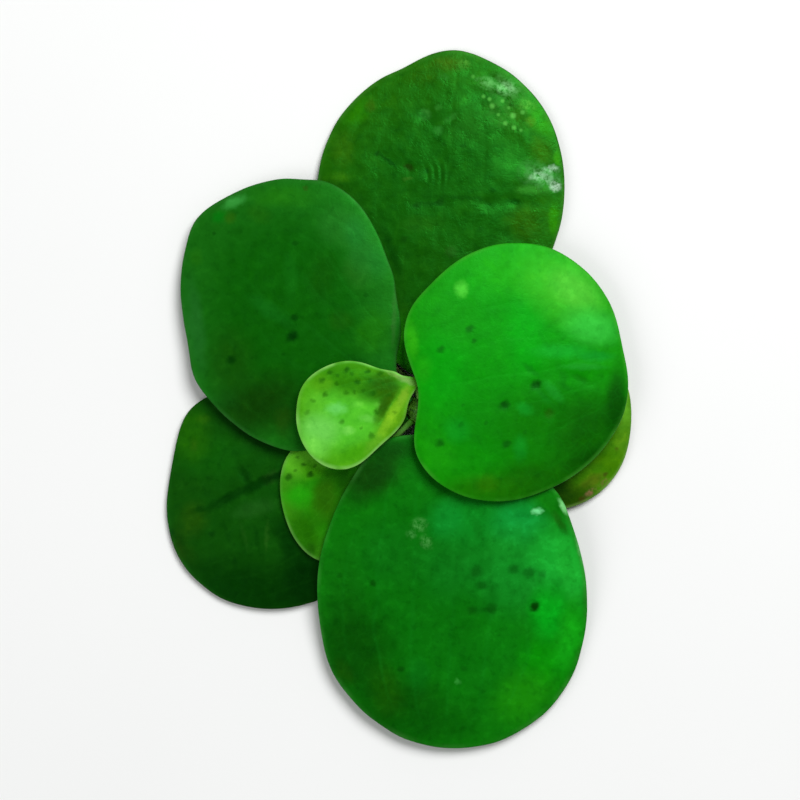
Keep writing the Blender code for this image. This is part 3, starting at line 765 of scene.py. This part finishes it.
leftLeaf = {
    **plainLeaf,
    "node": "leaf_left", "slot": "leaf_left_green", "centre": (-12.3, 9.75), "length": 31.3, "width": 24.4,
    "turn": 103.3, "egg": 0, "roundness": 2.5, "lobe": 0.2, "lobeTurn": 68.4, "notch": 0.4, "lift": 3,
    "rise": 0.07, "dome": 0.5, "cushion": 0.8, "stalkHeight": 3.1,
    "bulges": (
        (-147, 14, 0.55), (-110, 18, -0.5), (-22, 10, -0.7), (20, 8, 0.3), (86, 8, -0.3), (136, 10, 0.4),
    ),
    "tone": (1.06, 0.95, 0.85), "middle": (9, 84, 3), "rim": (20, 98, 16), "edge": (60, 112, 56),
    "vein": (20, 106, 20), "speck": (0, 40, 0), "under": (108, 150, 80), "underWall": (50, 100, 36),
    "rimLine": 0.25, "mottle": 0.34, "veinTint": 0.07,
    "patches": (
        (-14.8, 10.2, 4.4, 1.4, -35, 0.45, (16, 102, 24)), (-12.5, 14.4, 1.3, 4.2, 0.45, (15, 100, 15)),
        (-8.9, 14.2, 2.4, 4.2, 0.6, (12, 70, 2)), (-13.4, 23.4, 5, 1.7, 0.65, (28, 112, 10)),
        # painted sheen: the teal patches from (-5, 14.6) to (-2.6, 15.8) along the upper right
        (-16, 21.3, 1.9, 1.9, 0.3, (32, 96, 6)), (-5, 14.6, 2.2, 2.8, 20, 0.5, (32, 98, 24)),
        (-7.2, 20, 3.4, 3.2, -40, 0.7, (28, 104, 28)), (-4.1, 17.4, 2.8, 5.4, 24, 0.8, (28, 108, 34)),
        (-5, 19.2, 1.9, 2.4, 30, 0.45, (26, 116, 42)), (-2.6, 15.8, 1.6, 2.8, 15, 0.45, (25, 114, 38)),
        (-3.2, 8, 3, 3.6, 0.7, (24, 108, 4)), (-6.8, 9.2, 1.9, 1.7, 0.3, (30, 82, 4)),
        (-19.4, 4.4, 4.2, 5.4, 0.7, (16, 68, 3)), (-16.6, -0.6, 8.2, 4.8, 20, 1, (12, 54, 1)),
        (-13.4, -2.6, 1.4, 2.4, 0.5, (30, 58, 4)), (-20.4, -0.2, 2.4, 1.6, 0.3, (16, 78, 18)),
        (-23.4, 8.6, 1.5, 7.8, 6, 0.4, (34, 104, 46)), (-23.4, 16.4, 1.1, 1.4, 0.4, (34, 112, 12)),
        # painted highlight: the pale spot at (-19, 22.7) on the upper-left rim
        (-19, 22.7, 2.1, 0.9, 22, 0.8, (52, 150, 62)), (-20.8, 21, 1.3, 1, 30, 0.85, (4, 110, 12)),
        (-19.5, 20.9, 1, 1, 0.5, (40, 88, 2)), (-10.8, 24.3, 0.5, 0.4, 0.4, (50, 64, 10)),
        (-0.7, 9.4, 0.45, 4.4, -2, 0.45, (52, 96, 46)),
    ),
    "specks": (
        (-12.1, 9.4, 0.85, 0.7), (-12.3, 7.3, 1.15, 1), (-19.3, 4.6, 1, 0.8), (-12, 18, 0.6, 0.45),
        (-21.4, 19.1, 0.45, 0.5), (-3.9, 12, 0.5, 0.35), (-13.3, 5.2, 0.5, 0.3),
    ),
}

bottomLeaf = {
    **plainLeaf,
    "node": "leaf_bottom", "slot": "leaf_bottom_green", "centre": (5.8, -20.95), "length": 37.5,
    "width": 30.9, "turn": -81.2, "egg": 0.17, "roundness": 2, "lobe": 0.37, "lobeTurn": 37.2, "notch": 1.8,
    "base": 88, "lift": 1.75, "rise": 0, "climb": 2.4, "roll": 0.03, "dome": 0.5, "cushion": 2.4,
    "stalkHeight": 2.7,
    "bulges": ((-146, 14, 0.4), (-10, 30, -0.2), (40, 10, 0.45), (117, 9, 0.5), (150, 22, -0.3)),
    "creases": (
        ((8.8, -13.6), (10.2, -17.6), 0.9, 0.06), ((10.1, -17.2), (10.6, -21.2), 0.9, 0.06),
        ((10.6, -20.8), (10.2, -24.2), 0.8, 0.05),
    ),
    "dents": ((15.4, -23.75, 0.7, 0.14),), "tone": (1, 1.13, 1.06), "middle": (9, 100, 8),
    "rim": (12, 104, 7), "edge": (70, 140, 60), "vein": (18, 122, 28), "speck": (4, 56, 2),
    "under": (110, 160, 84), "underWall": (50, 110, 40), "rimLine": 0.3, "mottle": 0.42, "veinTint": 0.1,
    "patches": (
        # painted sheen: the paler teal patches at (8, -14) and (13.6, -14.4)
        (8, -14, 7, 4, -6, 0.75, (12, 128, 32)), (13.6, -14.4, 4.4, 4, 0.9, (15, 146, 58)),
        (5.4, -13.6, 2.8, 3, 0.5, (14, 134, 44)), (-6.4, -21, 3.4, 6.5, 6, 0.5, (12, 92, 8)),
        (-1, -17.5, 5.5, 5, 0.4, (14, 106, 20)), (6, -19, 5.6, 5.6, 0.5, (15, 114, 28)),
        # painted light: the patches from (12, -27) to (19.4, -27) make the right side brighter
        (12, -27, 5, 5, 0.6, (12, 116, 12)), (13.4, -19, 7.6, 7.4, 0.95, (19, 132, 34)),
        (16.6, -30, 4.2, 4.6, 20, 0.75, (8, 136, 4)), (14.2, -34, 5.2, 4, 35, 0.75, (26, 128, 6)),
        (17.9, -18.4, 4.2, 6, 10, 0.95, (23, 154, 42)), (19.6, -19.6, 2.2, 6.4, 10, 0.9, (29, 163, 45)),
        (17, -24.4, 3.2, 4.4, 0.95, (6, 154, 22)), (19.4, -27, 2.2, 5.8, -12, 0.9, (18, 152, 18)),
        # painted shade: the darker lower left at (-5.4, -29), (0, -35.2) and (3.5, -37.3)
        (-5.4, -29, 7.4, 9.6, 18, 0.95, (7, 66, 2)), (0, -35.2, 7.4, 5.4, 10, 0.85, (7, 66, 2)),
        (-1.6, -33.6, 2.8, 4.6, 20, 0.5, (24, 74, 0)), (-6.4, -31.2, 1.4, 2.2, 25, 0.3, (30, 66, 2)),
        (3.5, -37.3, 8.4, 4, 6, 0.75, (6, 76, 3)), (2.2, -31.5, 1.8, 3, 0.35, (6, 96, 20)),
        # painted shadow of the young leaf at (-3.2, -8.4), and painted shade in the gap by the crown at
        # (-0.7, -5.7)
        (-3.2, -8.4, 6.6, 3.8, 36, 0.95, (13, 50, 4)), (-0.7, -5.7, 3.6, 2, 10, 0.9, (10, 52, 4)),
        (8.9, -14.8, 0.9, 2.2, 12, 0.5, (10, 100, 16)), (9.9, -18.4, 1.3, 3.4, 10, 0.45, (8, 96, 14)),
        (10.4, -22, 1.3, 2.8, -4, 0.45, (8, 92, 14)), (9.4, -24, 1.6, 0.5, 0.5, (6, 84, 8)),
        (14.3, -19.6, 3.2, 0.8, -8, 0.35, (10, 104, 24)), (9.6, -24, 3, 0.7, 4, 0.3, (6, 84, 8)),
        (12.4, -20.6, 3.6, 1.6, 10, 0.3, (12, 112, 24)), (11.6, -15.2, 1.4, 0.9, 0.4, (12, 112, 30)),
        # painted highlights: the pale spot at (15.7, -12.7), where a water drop shines, and the pale rim at
        # (18.7, -12.2) and (20.7, -17.4)
        (15.7, -12.7, 0.85, 0.6, 1, (118, 214, 142)), (18.3, -14, 0.7, 2.2, 34, 0.9, (20, 88, 10)),
        (18.7, -12.2, 0.5, 1.4, 32, 0.95, (124, 200, 124)), (20.7, -17.4, 0.45, 3, 16, 0.8, (86, 160, 86)),
        (6.6, -32.3, 0.6, 0.5, 0.6, (60, 152, 60)),
    ),
    "flecksAndGlints": (
        (2.2, -14.2, 1.3, 1.1, 1, (74, 156, 70)), (3, -16.2, 0.9, 1.2, 30, 1, (74, 156, 70)),
        (1.3, -15.3, 0.9, 0.8, 0.8, (62, 144, 60)),
    ),
    "specks": (
        (15.4, -23.7, 1.05, 1), (8.7, -19.7, 1.4, 0.55), (9.4, -21.2, 1.1, 0.5), (13, -19.3, 1.1, 0.45),
        (14.8, -19.7, 1.2, 0.45), (16.3, -20, 0.9, 0.4), (8.2, -24.1, 1, 0.45), (10.5, -23.9, 1.2, 0.5),
        (-3.1, -21, 0.75, 0.7), (-6.9, -20.1, 0.6, 0.35), (0.1, -30.9, 0.7, 0.6), (7.3, -30.8, 0.6, 0.35),
    ),
}

youngLeaf = {
    **smallLeaf,
    "node": "leaf_young", "slot": "leaf_young_lime", "centre": (-4.6, -0.75), "length": 14.7, "width": 10.7,
    "turn": 208.9, "egg": 0.57, "roundness": 2, "lobe": 0.46, "lobeTurn": -15.3, "notch": -0.2, "base": 24,
    "lift": 4.9, "rise": -0.05, "stalkHeight": 3.6, "bulges": ((5, 14, -0.3), (23, 7, 0.5), (34, 8, -0.65)),
    "lips": ((-32, 36, 0.2, 0.3), (60, 60, 0.1, 0.08), (170, 60, 0.1, 0.08)),
    "creases": (((-0.1, 1.1), (-1.2, -0.9), 0.3, 0.16), ((-1.1, -0.7), (-2.4, -2.8), 0.3, 0.14)),
    "tone": (0.92, 0.96, 0.75), "middle": (84, 190, 46), "rim": (80, 164, 22), "edge": (142, 206, 106),
    "vein": (104, 206, 70), "speck": (26, 84, 0), "under": (150, 206, 104), "underWall": (96, 170, 60),
    "rimStart": 0.92, "rimLine": 0.75, "mottle": 0.3, "drift": 0.8, "veinTint": 0.02, "netTint": 0.015,
    "patches": (
        (-9.4, -0.4, 2.4, 1.6, 0.5, (98, 190, 48)), (-9.2, -3.4, 3.4, 2.8, 0.95, (114, 208, 92)),
        (-6, 2.4, 5.8, 3, -6, 1, (52, 128, 2)), (-9, 1.8, 1.9, 1.7, 0.6, (86, 160, 16)),
        (-3, 1.2, 3.4, 2.2, -8, 0.9, (42, 112, 4)), (-1.7, 1.7, 2.8, 2.4, 1, (40, 88, 0)),
        (-5.2, -6, 3.6, 1.3, 24, 0.8, (68, 158, 8)), (-9.7, -5.3, 2.4, 1.7, -40, 0.85, (118, 216, 84)),
        (-7.2, -1, 1.7, 1, 0.7, (114, 214, 114)), (-4.8, -0.5, 1.1, 0.6, 0.6, (104, 206, 66)),
        (-2.3, -0.6, 1, 0.6, 0.6, (106, 200, 68)), (-3.7, -2.1, 1.4, 0.7, -10, 0.6, (112, 206, 84)),
        (-5.9, -3.5, 1.1, 0.8, 0.65, (118, 210, 90)), (-0.4, -1.8, 5.2, 2.3, 60, 1, (92, 156, 16)),
        (-1.7, -0.4, 3.4, 1, 62, 0.95, (44, 88, 0)), (-1, -1.9, 4.2, 0.85, 60, 0.95, (128, 188, 36)),
        (0.4, 0.4, 1.8, 0.7, 64, 0.8, (126, 174, 44)), (0.6, -2, 3.2, 0.6, 60, 0.6, (70, 126, 8)),
        (-2.9, -5, 2.2, 1, 46, 0.8, (96, 168, 36)), (-0.9, 3.1, 2, 0.5, -26, 0.85, (112, 164, 76)),
        (0.6, 2.35, 1.8, 0.6, -26, 1, (124, 170, 92)),
    ),
    "specks": (
        (-6.1, 3.4, 0.65, 0.9), (-4.9, 2.1, 0.7, 0.95), (-3.7, 3.3, 0.6, 0.85), (-2.3, 3, 0.6, 0.75),
        (-3, 0.8, 0.65, 0.9), (-6.1, 0.8, 0.55, 0.5), (-8, 3.1, 0.6, 0.8), (-8.8, 2.3, 0.65, 0.75),
        (-8.5, 0.6, 0.6, 0.65), (-9.9, -0.1, 0.5, 0.4), (-10.5, -1.4, 0.55, 0.4), (-6.6, -2.5, 0.55, 0.5),
        (-2.7, -1.4, 0.6, 0.65), (-3.2, -4, 0.65, 0.6), (-7.2, 1.9, 0.45, 0.6), (-5.2, 0.9, 0.4, 0.55),
        (-1.9, 1.9, 0.5, 0.65), (-4.2, 1.1, 0.45, 0.6), (-1.2, 0.6, 0.5, 0.65), (-7.1, 2.8, 0.4, 0.55),
        (-5.5, 3, 0.4, 0.6), (-3.4, 2.2, 0.45, 0.7), (-0.6, -1.4, 0.4, 0.4), (-4.4, -3.2, 0.35, 0.4),
    ),
}

rightLeaf = {
    **plainLeaf,
    "node": "leaf_right", "slot": "leaf_right_green", "centre": (13, 3.1), "length": 26.9, "width": 30.2,
    "turn": -18.3, "egg": -0.08, "roundness": 1.92, "notch": 2.6, "base": 189.5, "lift": 4.6, "rise": 0.13,
    "roll": 0.025, "dome": 0.5, "cushion": 0.9, "stalkHeight": 3.7, "stalkEdge": 0.66, "stalkSink": 0.9,
    "veins": 0.4,
    "bulges": ((-154, 11, -0.75), (14, 20, -0.6), (80, 30, -0.3), (148, 12, 0.35), (172, 9, -0.25)),
    "creases": (
        ((13.9, 4.2), (16.2, 2.4), 0.7, 0.06), ((15.7, 2), (18, -0.8), 0.7, 0.07),
        ((16.4, 2.3), (18.8, -0.5), 0.8, -0.06), ((18.6, 3.9), (24, 3.9), 0.7, -0.06),
        ((19.4, 2.8), (22.6, 1.6), 0.6, 0.07),
    ),
    "dents": ((15.5, 1.7, 0.6, 0.08), (11.9, -0.6, 0.5, 0.06), (17, -1.5, 0.6, 0.07)),
    "tone": (0.95, 1, 0.85), "middle": (10, 135, 5), "rim": (18, 134, 5), "edge": (80, 174, 54),
    "vein": (18, 160, 22), "speck": (4, 66, 3), "under": (120, 184, 90), "underWall": (54, 130, 44),
    "mottle": 0.3, "drift": 1, "rimLine": 0.3,
    "patches": (
        (4.5, 3, 4.5, 7.5, 0.8, (8, 152, 12)), (6.5, 9.2, 4.4, 4, 0.7, (14, 128, 4)),
        (14.3, 7.5, 3.4, 6.6, 0.7, (3, 156, 13)), (9, 13.6, 4.4, 3.2, 20, 0.6, (18, 150, 12)),
        # painted sheen: the lime patches over the upper right, from (14, 14.8) to (22, 8.4), and the pale
        # band at (18.5, 5.6) and (21, 3.8)
        (14, 14.8, 7.6, 4.2, -4, 0.8, (32, 158, 14)), (19, 12.6, 7.8, 5.2, -32, 0.9, (58, 172, 32)),
        (20, 12.6, 4.8, 3, -34, 0.65, (84, 184, 56)), (22, 8.4, 4.8, 3, -14, 0.8, (52, 182, 62)),
        (18.5, 5.6, 4.8, 1.2, 0.6, (22, 164, 46)), (22.4, 5, 3, 0.9, 0.8, (12, 138, 36)),
        (21, 3.8, 3.8, 0.6, 0.5, (34, 150, 48)), (2.6, 3.6, 1.3, 2.2, 0.5, (36, 164, 16)),
        (1.3, 6.8, 1.1, 3.2, 6, 0.7, (50, 170, 18)), (11, -2.6, 9.4, 6.4, 0.75, (11, 118, 5)),
        # painted shade: the darker lower right, where the blade bends down, at (17.4, -2.8), (21.6, -3.8),
        # (24.8, -0.6), (20.4, -7.4) and (14.8, -9.4)
        (17.4, -2.8, 9.4, 7.6, 12, 0.9, (14, 106, 2)), (21.6, -3.8, 6, 7.4, -24, 0.95, (12, 80, 0)),
        (24.8, -0.6, 2, 6.4, -4, 1, (7, 66, 0)), (20.4, -7.4, 5.4, 1.7, 36, 0.95, (7, 62, 0)),
        (13.7, -5.5, 1.2, 2.2, 0.5, (14, 140, 36)), (6.5, -3.4, 2.1, 2.1, 0.5, (14, 148, 34)),
        (14.2, -1, 1.5, 1, -30, 0.5, (16, 146, 40)), (4.4, -6.2, 2.6, 3.2, 20, 0.6, (26, 148, 10)),
        (14.8, -9.4, 9.4, 4, 10, 1, (17, 90, 1)), (10, -10, 7, 2.2, 0.85, (28, 106, 1)),
        # painted shade and light: the dark and pale streaks from (14.9, 3.4) to (17, -1.5) lie in the
        # wrinkles of the dented part
        (9.8, -9.4, 1.9, 1.4, 0.4, (48, 108, 0)), (14.9, 3.4, 1.9, 0.55, -38, 0.7, (6, 112, 10)),
        (17.4, 1, 2.4, 0.9, -45, 0.55, (30, 148, 44)), (16.4, 0.4, 1.9, 0.55, -45, 0.7, (8, 104, 12)),
        (18.9, 1.5, 1.9, 0.5, -32, 0.55, (9, 102, 8)), (20.6, 2.4, 1.6, 0.5, -25, 0.6, (14, 108, 8)),
        (18.6, 2.6, 0.7, 1, -20, 0.6, (10, 114, 8)), (17, -1.5, 0.9, 0.8, 0.7, (28, 82, 4)),
        # painted highlight: the pale spot at (7, 12.6), where a water drop shines
        (7, 12.6, 1.1, 1.3, 0.9, (80, 198, 58)),
    ),
    "specks": (
        (15.5, 1.7, 1.15, 1), (11.9, -0.6, 1, 0.95), (12.1, -5, 0.95, 0.7), (4.5, -4.9, 0.9, 0.65),
        (7.9, 8.1, 0.9, 0.7), (8.4, 6.7, 0.6, 0.6), (4.6, 5.7, 0.85, 0.6), (6.9, -2.8, 0.6, 0.35),
        (9.8, -2.6, 0.5, 0.35), (14.3, -3.6, 0.5, 0.35), (7.2, -0.6, 0.45, 0.3),
    ),
}

# Roughly from the lowest layer to the topmost.
leaves = {
    "lowerLeftLeaf": lowerLeftLeaf, "topLeaf": topLeaf, "yellowingLeaf": yellowingLeaf,
    "secondYoungLeaf": secondYoungLeaf, "leftLeaf": leftLeaf, "bottomLeaf": bottomLeaf,
    "youngLeaf": youngLeaf, "rightLeaf": rightLeaf,
}

for number, (name, shape) in enumerate(leaves.items()):
    piece = leafPiece(name, shape, number + 1)
    piece.data.materials.clear()
    piece.data.materials.append(leafPaint(name + "Paint", shape))
    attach(piece, "root")
    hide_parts(shape["node"])
    print("leaf made:", name, len(piece.data.polygons), "faces")

crown = crownPiece()
crown.data.materials.append(crownPaint())
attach(crown, "root")
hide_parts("crown")
print("crown made")

# The roots: a pale brown thread with fine hairs out to where the solid root's skin is.
rootLook = {
    "startRadius": 0.4, "startHeight": 1.3, "fullRadius": 0.7, "tipRadius": 0.35, "fullShare": 0.3,
    "rootedIn": 0.5, "threadStartRadius": 0.3, "threadRadius": 0.24, "threadTipRadius": 0.1,
    "threadSides": 14, "threadRidges": 5, "threadRidgeDepth": 0.06, "threadWaver": 0.05,
    "waverTurns": 23, "threadLift": 0.8, "thinShare": 0.15, "steps": 14, "hairsPerMm": 34,
    "hairRadius": 0.022, "hairRange": (0.08, 0.995), "hairLengths": (0.75, 1.0),
    "hairLean": (-0.25, 0.5), "hairStart": 0.08, "hairBendShare": 0.55, "hairBendLean": 0.3,
    "hairTaper": 0.7, "tableGap": 0.03, "thread": (150, 134, 88), "hair": (176, 162, 120),
    "stained": (104, 100, 48), "fresh": (76, 142, 30), "freshReach": (8.0, 4.0), "streakScale": 1.6,
    "stainScale": 0.4, "stainShare": 0.6, "roughness": (0.5, 0.75), "bumpStrength": 0.5,
    "bumpHeight": 0.05,
}

rootRoutes = {
    "root_1": ((4.4, -4.6), (5.6, -7.2), (8.5, -11.5), (12.0, -14.5), (15.5, -16.0)),
    "root_2": ((1.6, -4.6), (0.7, -7.4), (-0.7, -11.5), (-0.8, -16.0)),
    "root_3": ((-0.9, -1.3), (-3.4, -1.6), (-6.5, -0.6), (-11.0, 1.7), (-16.0, 2.1), (-20.0, 4.0)),
    "root_4": ((-0.7, 0.8), (-3.6, 2.2), (-8.0, 4.6), (-12.0, 5.6), (-17.0, 8.2)),
    "root_5": ((1.3, 2.2), (-1.2, 4.3), (-4.8, 7.0), (-8.0, 9.4), (-11.5, 12.3), (-15.4, 14.6)),
}


def hairReach(share):
    # how far the hairs reach from the thread
    near = np.clip(share / rootLook["fullShare"], 0, 1)
    far = np.clip((share - rootLook["fullShare"]) / (1 - rootLook["fullShare"]), 0, 1)
    rising = rootLook["startRadius"] + (rootLook["fullRadius"] - rootLook["startRadius"]) * near
    return rising + (rootLook["tipRadius"] - rootLook["fullRadius"]) * far ** 2


def rootLine(route, seed):
    # the middle of the thread, from inside the crown's skin down to the table
    middle = np.array(crownLook["centre"])
    toward = np.array([*route[0], 0.0]) - middle
    toward[2] = 0.0
    toward /= np.linalg.norm(toward)
    out = crownReach(rootLook["startHeight"], rootLook["startRadius"]) - rootLook["rootedIn"]
    start = np.array([middle[0], middle[1], rootLook["startHeight"]]) + toward * out
    line = smoothRoute([start, *((x, y, 0.0) for x, y in route)], rootLook["steps"])
    share = np.linspace(0, 1, len(line))
    line[:, 2] = np.maximum(line[:, 2], hairReach(share) * rootLook["threadLift"])
    line[:, 2] += rootLook["threadWaver"] * np.sin(share * rootLook["waverTurns"] + seed)
    return line, share


def hairShell(line, share, chance, first):
    # one bent three-sided hair at a chance place, with its points numbered from first
    at = chance.uniform(*rootLook["hairRange"])
    here = np.array([np.interp(at, share, line[:, axis]) for axis in range(3)])
    ahead = np.array([np.interp(min(1, at + 0.02), share, line[:, axis]) for axis in range(3)]) - here
    ahead /= max(1e-6, np.linalg.norm(ahead))
    way = chance.normal(size=3)
    way -= ahead * way.dot(ahead)
    way /= np.linalg.norm(way)
    most = float(hairReach(np.array(at)))
    reach = most * chance.uniform(*rootLook["hairLengths"])
    lean = ahead * chance.uniform(*rootLook["hairLean"])
    root = here + way * rootLook["hairStart"]
    bend = here + way * reach * rootLook["hairBendShare"] + lean * rootLook["hairBendLean"]
    tip = here + way * reach + lean
    tip = here + (tip - here) / max(1.0, np.linalg.norm(tip - here) / most)
    for place in (bend, tip):
        place[2] = max(place[2], rootLook["tableGap"])
    aside = np.cross(way, ahead)
    sides = [ahead, -0.5 * ahead + 0.866 * aside, -0.5 * ahead - 0.866 * aside]
    low = [root + side * rootLook["hairRadius"] for side in sides]
    high = [bend + side * rootLook["hairRadius"] * rootLook["hairTaper"] for side in sides]
    faces = []
    for a, b in ((0, 1), (1, 2), (2, 0)):
        faces.append((first + a, first + b, first + 3 + b, first + 3 + a))
        faces.append((first + 3 + a, first + 3 + b, first + 6))
    faces.append((first + 2, first + 1, first))
    return np.array([*low, *high, tip]), faces


def rootPiece(name, route, seed):
    chance = np.random.default_rng(seed)
    line, share = rootLine(route, seed)
    radii = (rootLook["threadStartRadius"], rootLook["threadRadius"], rootLook["threadTipRadius"])
    thread = np.interp(share, (0, rootLook["thinShare"], 1), radii)
    ridges = (rootLook["threadSides"], rootLook["threadRidges"], rootLook["threadRidgeDepth"])
    points, faces = tubeShell(line, thread, *ridges)
    shells, count = [points], len(points)
    length = np.linalg.norm(np.diff(line, axis=0), axis=1).sum()
    for _ in range(int(length * rootLook["hairsPerMm"])):
        points, hairFaces = hairShell(line, share, chance, count)
        shells.append(points)
        faces += hairFaces
        count += len(points)
    return newPiece(name, newMesh(name, np.vstack(shells), faces))


def rootPaint():
    material, shader, place = startPaint("rootPaint")
    thread, hair, stained, fresh = (paint(*rootLook[key]) for key in ("thread", "hair", "stained", "fresh"))
    streak = speckle(place, rootLook["streakScale"], 3.0, 0.6)
    colour = blend(ramp(streak, 0.35, 0.65), thread, hair)
    stain = ramp(speckle(place, rootLook["stainScale"]), 0.5, 0.7, 0.0, rootLook["stainShare"])
    colour = blend(stain, colour, stained)
    # still green close to the crown
    away = addNode("VectorMath", {0: place, 1: crownLook["centre"]}, "Value", operation="DISTANCE")
    colour = blend(ramp(away, *rootLook["freshReach"]), colour, fresh)
    roughness = ramp(streak, 0.3, 0.7, *rootLook["roughness"])
    finishPaint(shader, colour, roughness, streak, rootLook["bumpStrength"], rootLook["bumpHeight"])
    return material


threadPaint = rootPaint()
for number, (node, route) in enumerate(rootRoutes.items()):
    root = rootPiece("hairyRoot" + str(number + 1), route, number + 11)
    root.data.materials.append(threadPaint)
    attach(root, "root")
    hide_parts(node)
    print("root made:", node, len(root.data.polygons), "faces")

# Table, lights and camera. Only the lights are placed and sized in metres.
studio = {
    "tableSize": 3000.0, "tableDrop": 0.02, "tableColour": (247, 248, 247),
    "tableShade": (238, 240, 239), "shadeShare": 0.15, "shadeScale": 0.02, "tableRoughness": 0.75,
    "tableSpecular": 0.2, "keyPlace": (0.2, 0.3, 0.5), "keySize": 0.4, "keyPower": 3.4,
    "fillPlace": (-0.5, -0.25, 0.5), "fillSize": 0.6, "fillPower": 1.45, "worldLight": 0.23,
    "lens": 150.0, "sensor": 36.0, "viewWidth": 91.5, "aimHeight": 3.0,
}


def makeTable():
    half, level = studio["tableSize"] / 2, -studio["tableDrop"]
    corners = [(x, y, level) for x, y in ((-half, -half), (half, -half), (half, half), (-half, half))]
    table = newPiece("paleTable", newMesh("paleTable", corners, [(0, 1, 2, 3)]))
    material, shader, place = startPaint("tablePaint")
    cloud = ramp(speckle(place, studio["shadeScale"]), 0.3, 0.7, 0.0, studio["shadeShare"])
    colour = blend(cloud, paint(*studio["tableColour"]), paint(*studio["tableShade"]))
    gloss = {"Roughness": studio["tableRoughness"], "Specular IOR Level": studio["tableSpecular"]}
    wire(shader, {"Base Color": colour, **gloss})
    table.data.materials.append(material)


def addLight(name, place, size, power):
    lamp = bpy.data.lights.new(name, "AREA")
    lamp.shape = "DISK"
    lamp.size = size
    lamp.energy = power
    holder = bpy.data.objects.new(name, lamp)
    holder.location = place
    holder.rotation_mode = "QUATERNION"
    holder.rotation_quaternion = (-Vector(place)).to_track_quat("-Z", "Y")
    bpy.context.scene.collection.objects.link(holder)


makeTable()
addLight("keyLight", studio["keyPlace"], studio["keySize"], studio["keyPower"])
addLight("fillLight", studio["fillPlace"], studio["fillSize"], studio["fillPower"])
world = bpy.data.worlds.new("softRoom")
world.use_nodes = True
world.node_tree.nodes["Background"].inputs["Color"].default_value = (1.0, 1.0, 1.0, 1.0)
world.node_tree.nodes["Background"].inputs["Strength"].default_value = studio["worldLight"]
bpy.context.scene.world = world
bpy.context.scene.view_settings.view_transform = "Standard"

lens = bpy.data.cameras.new("overheadCamera")
lens.lens = studio["lens"]
lens.sensor_width = studio["sensor"]
lens.clip_start = 0.01
camera = bpy.data.objects.new("overheadCamera", lens)
distance = studio["viewWidth"] * studio["lens"] / studio["sensor"]
camera.location = (0.0, 0.0, (distance + studio["aimHeight"]) * mm)
bpy.context.scene.collection.objects.link(camera)
bpy.context.scene.camera = camera
print("table, lights and camera made")
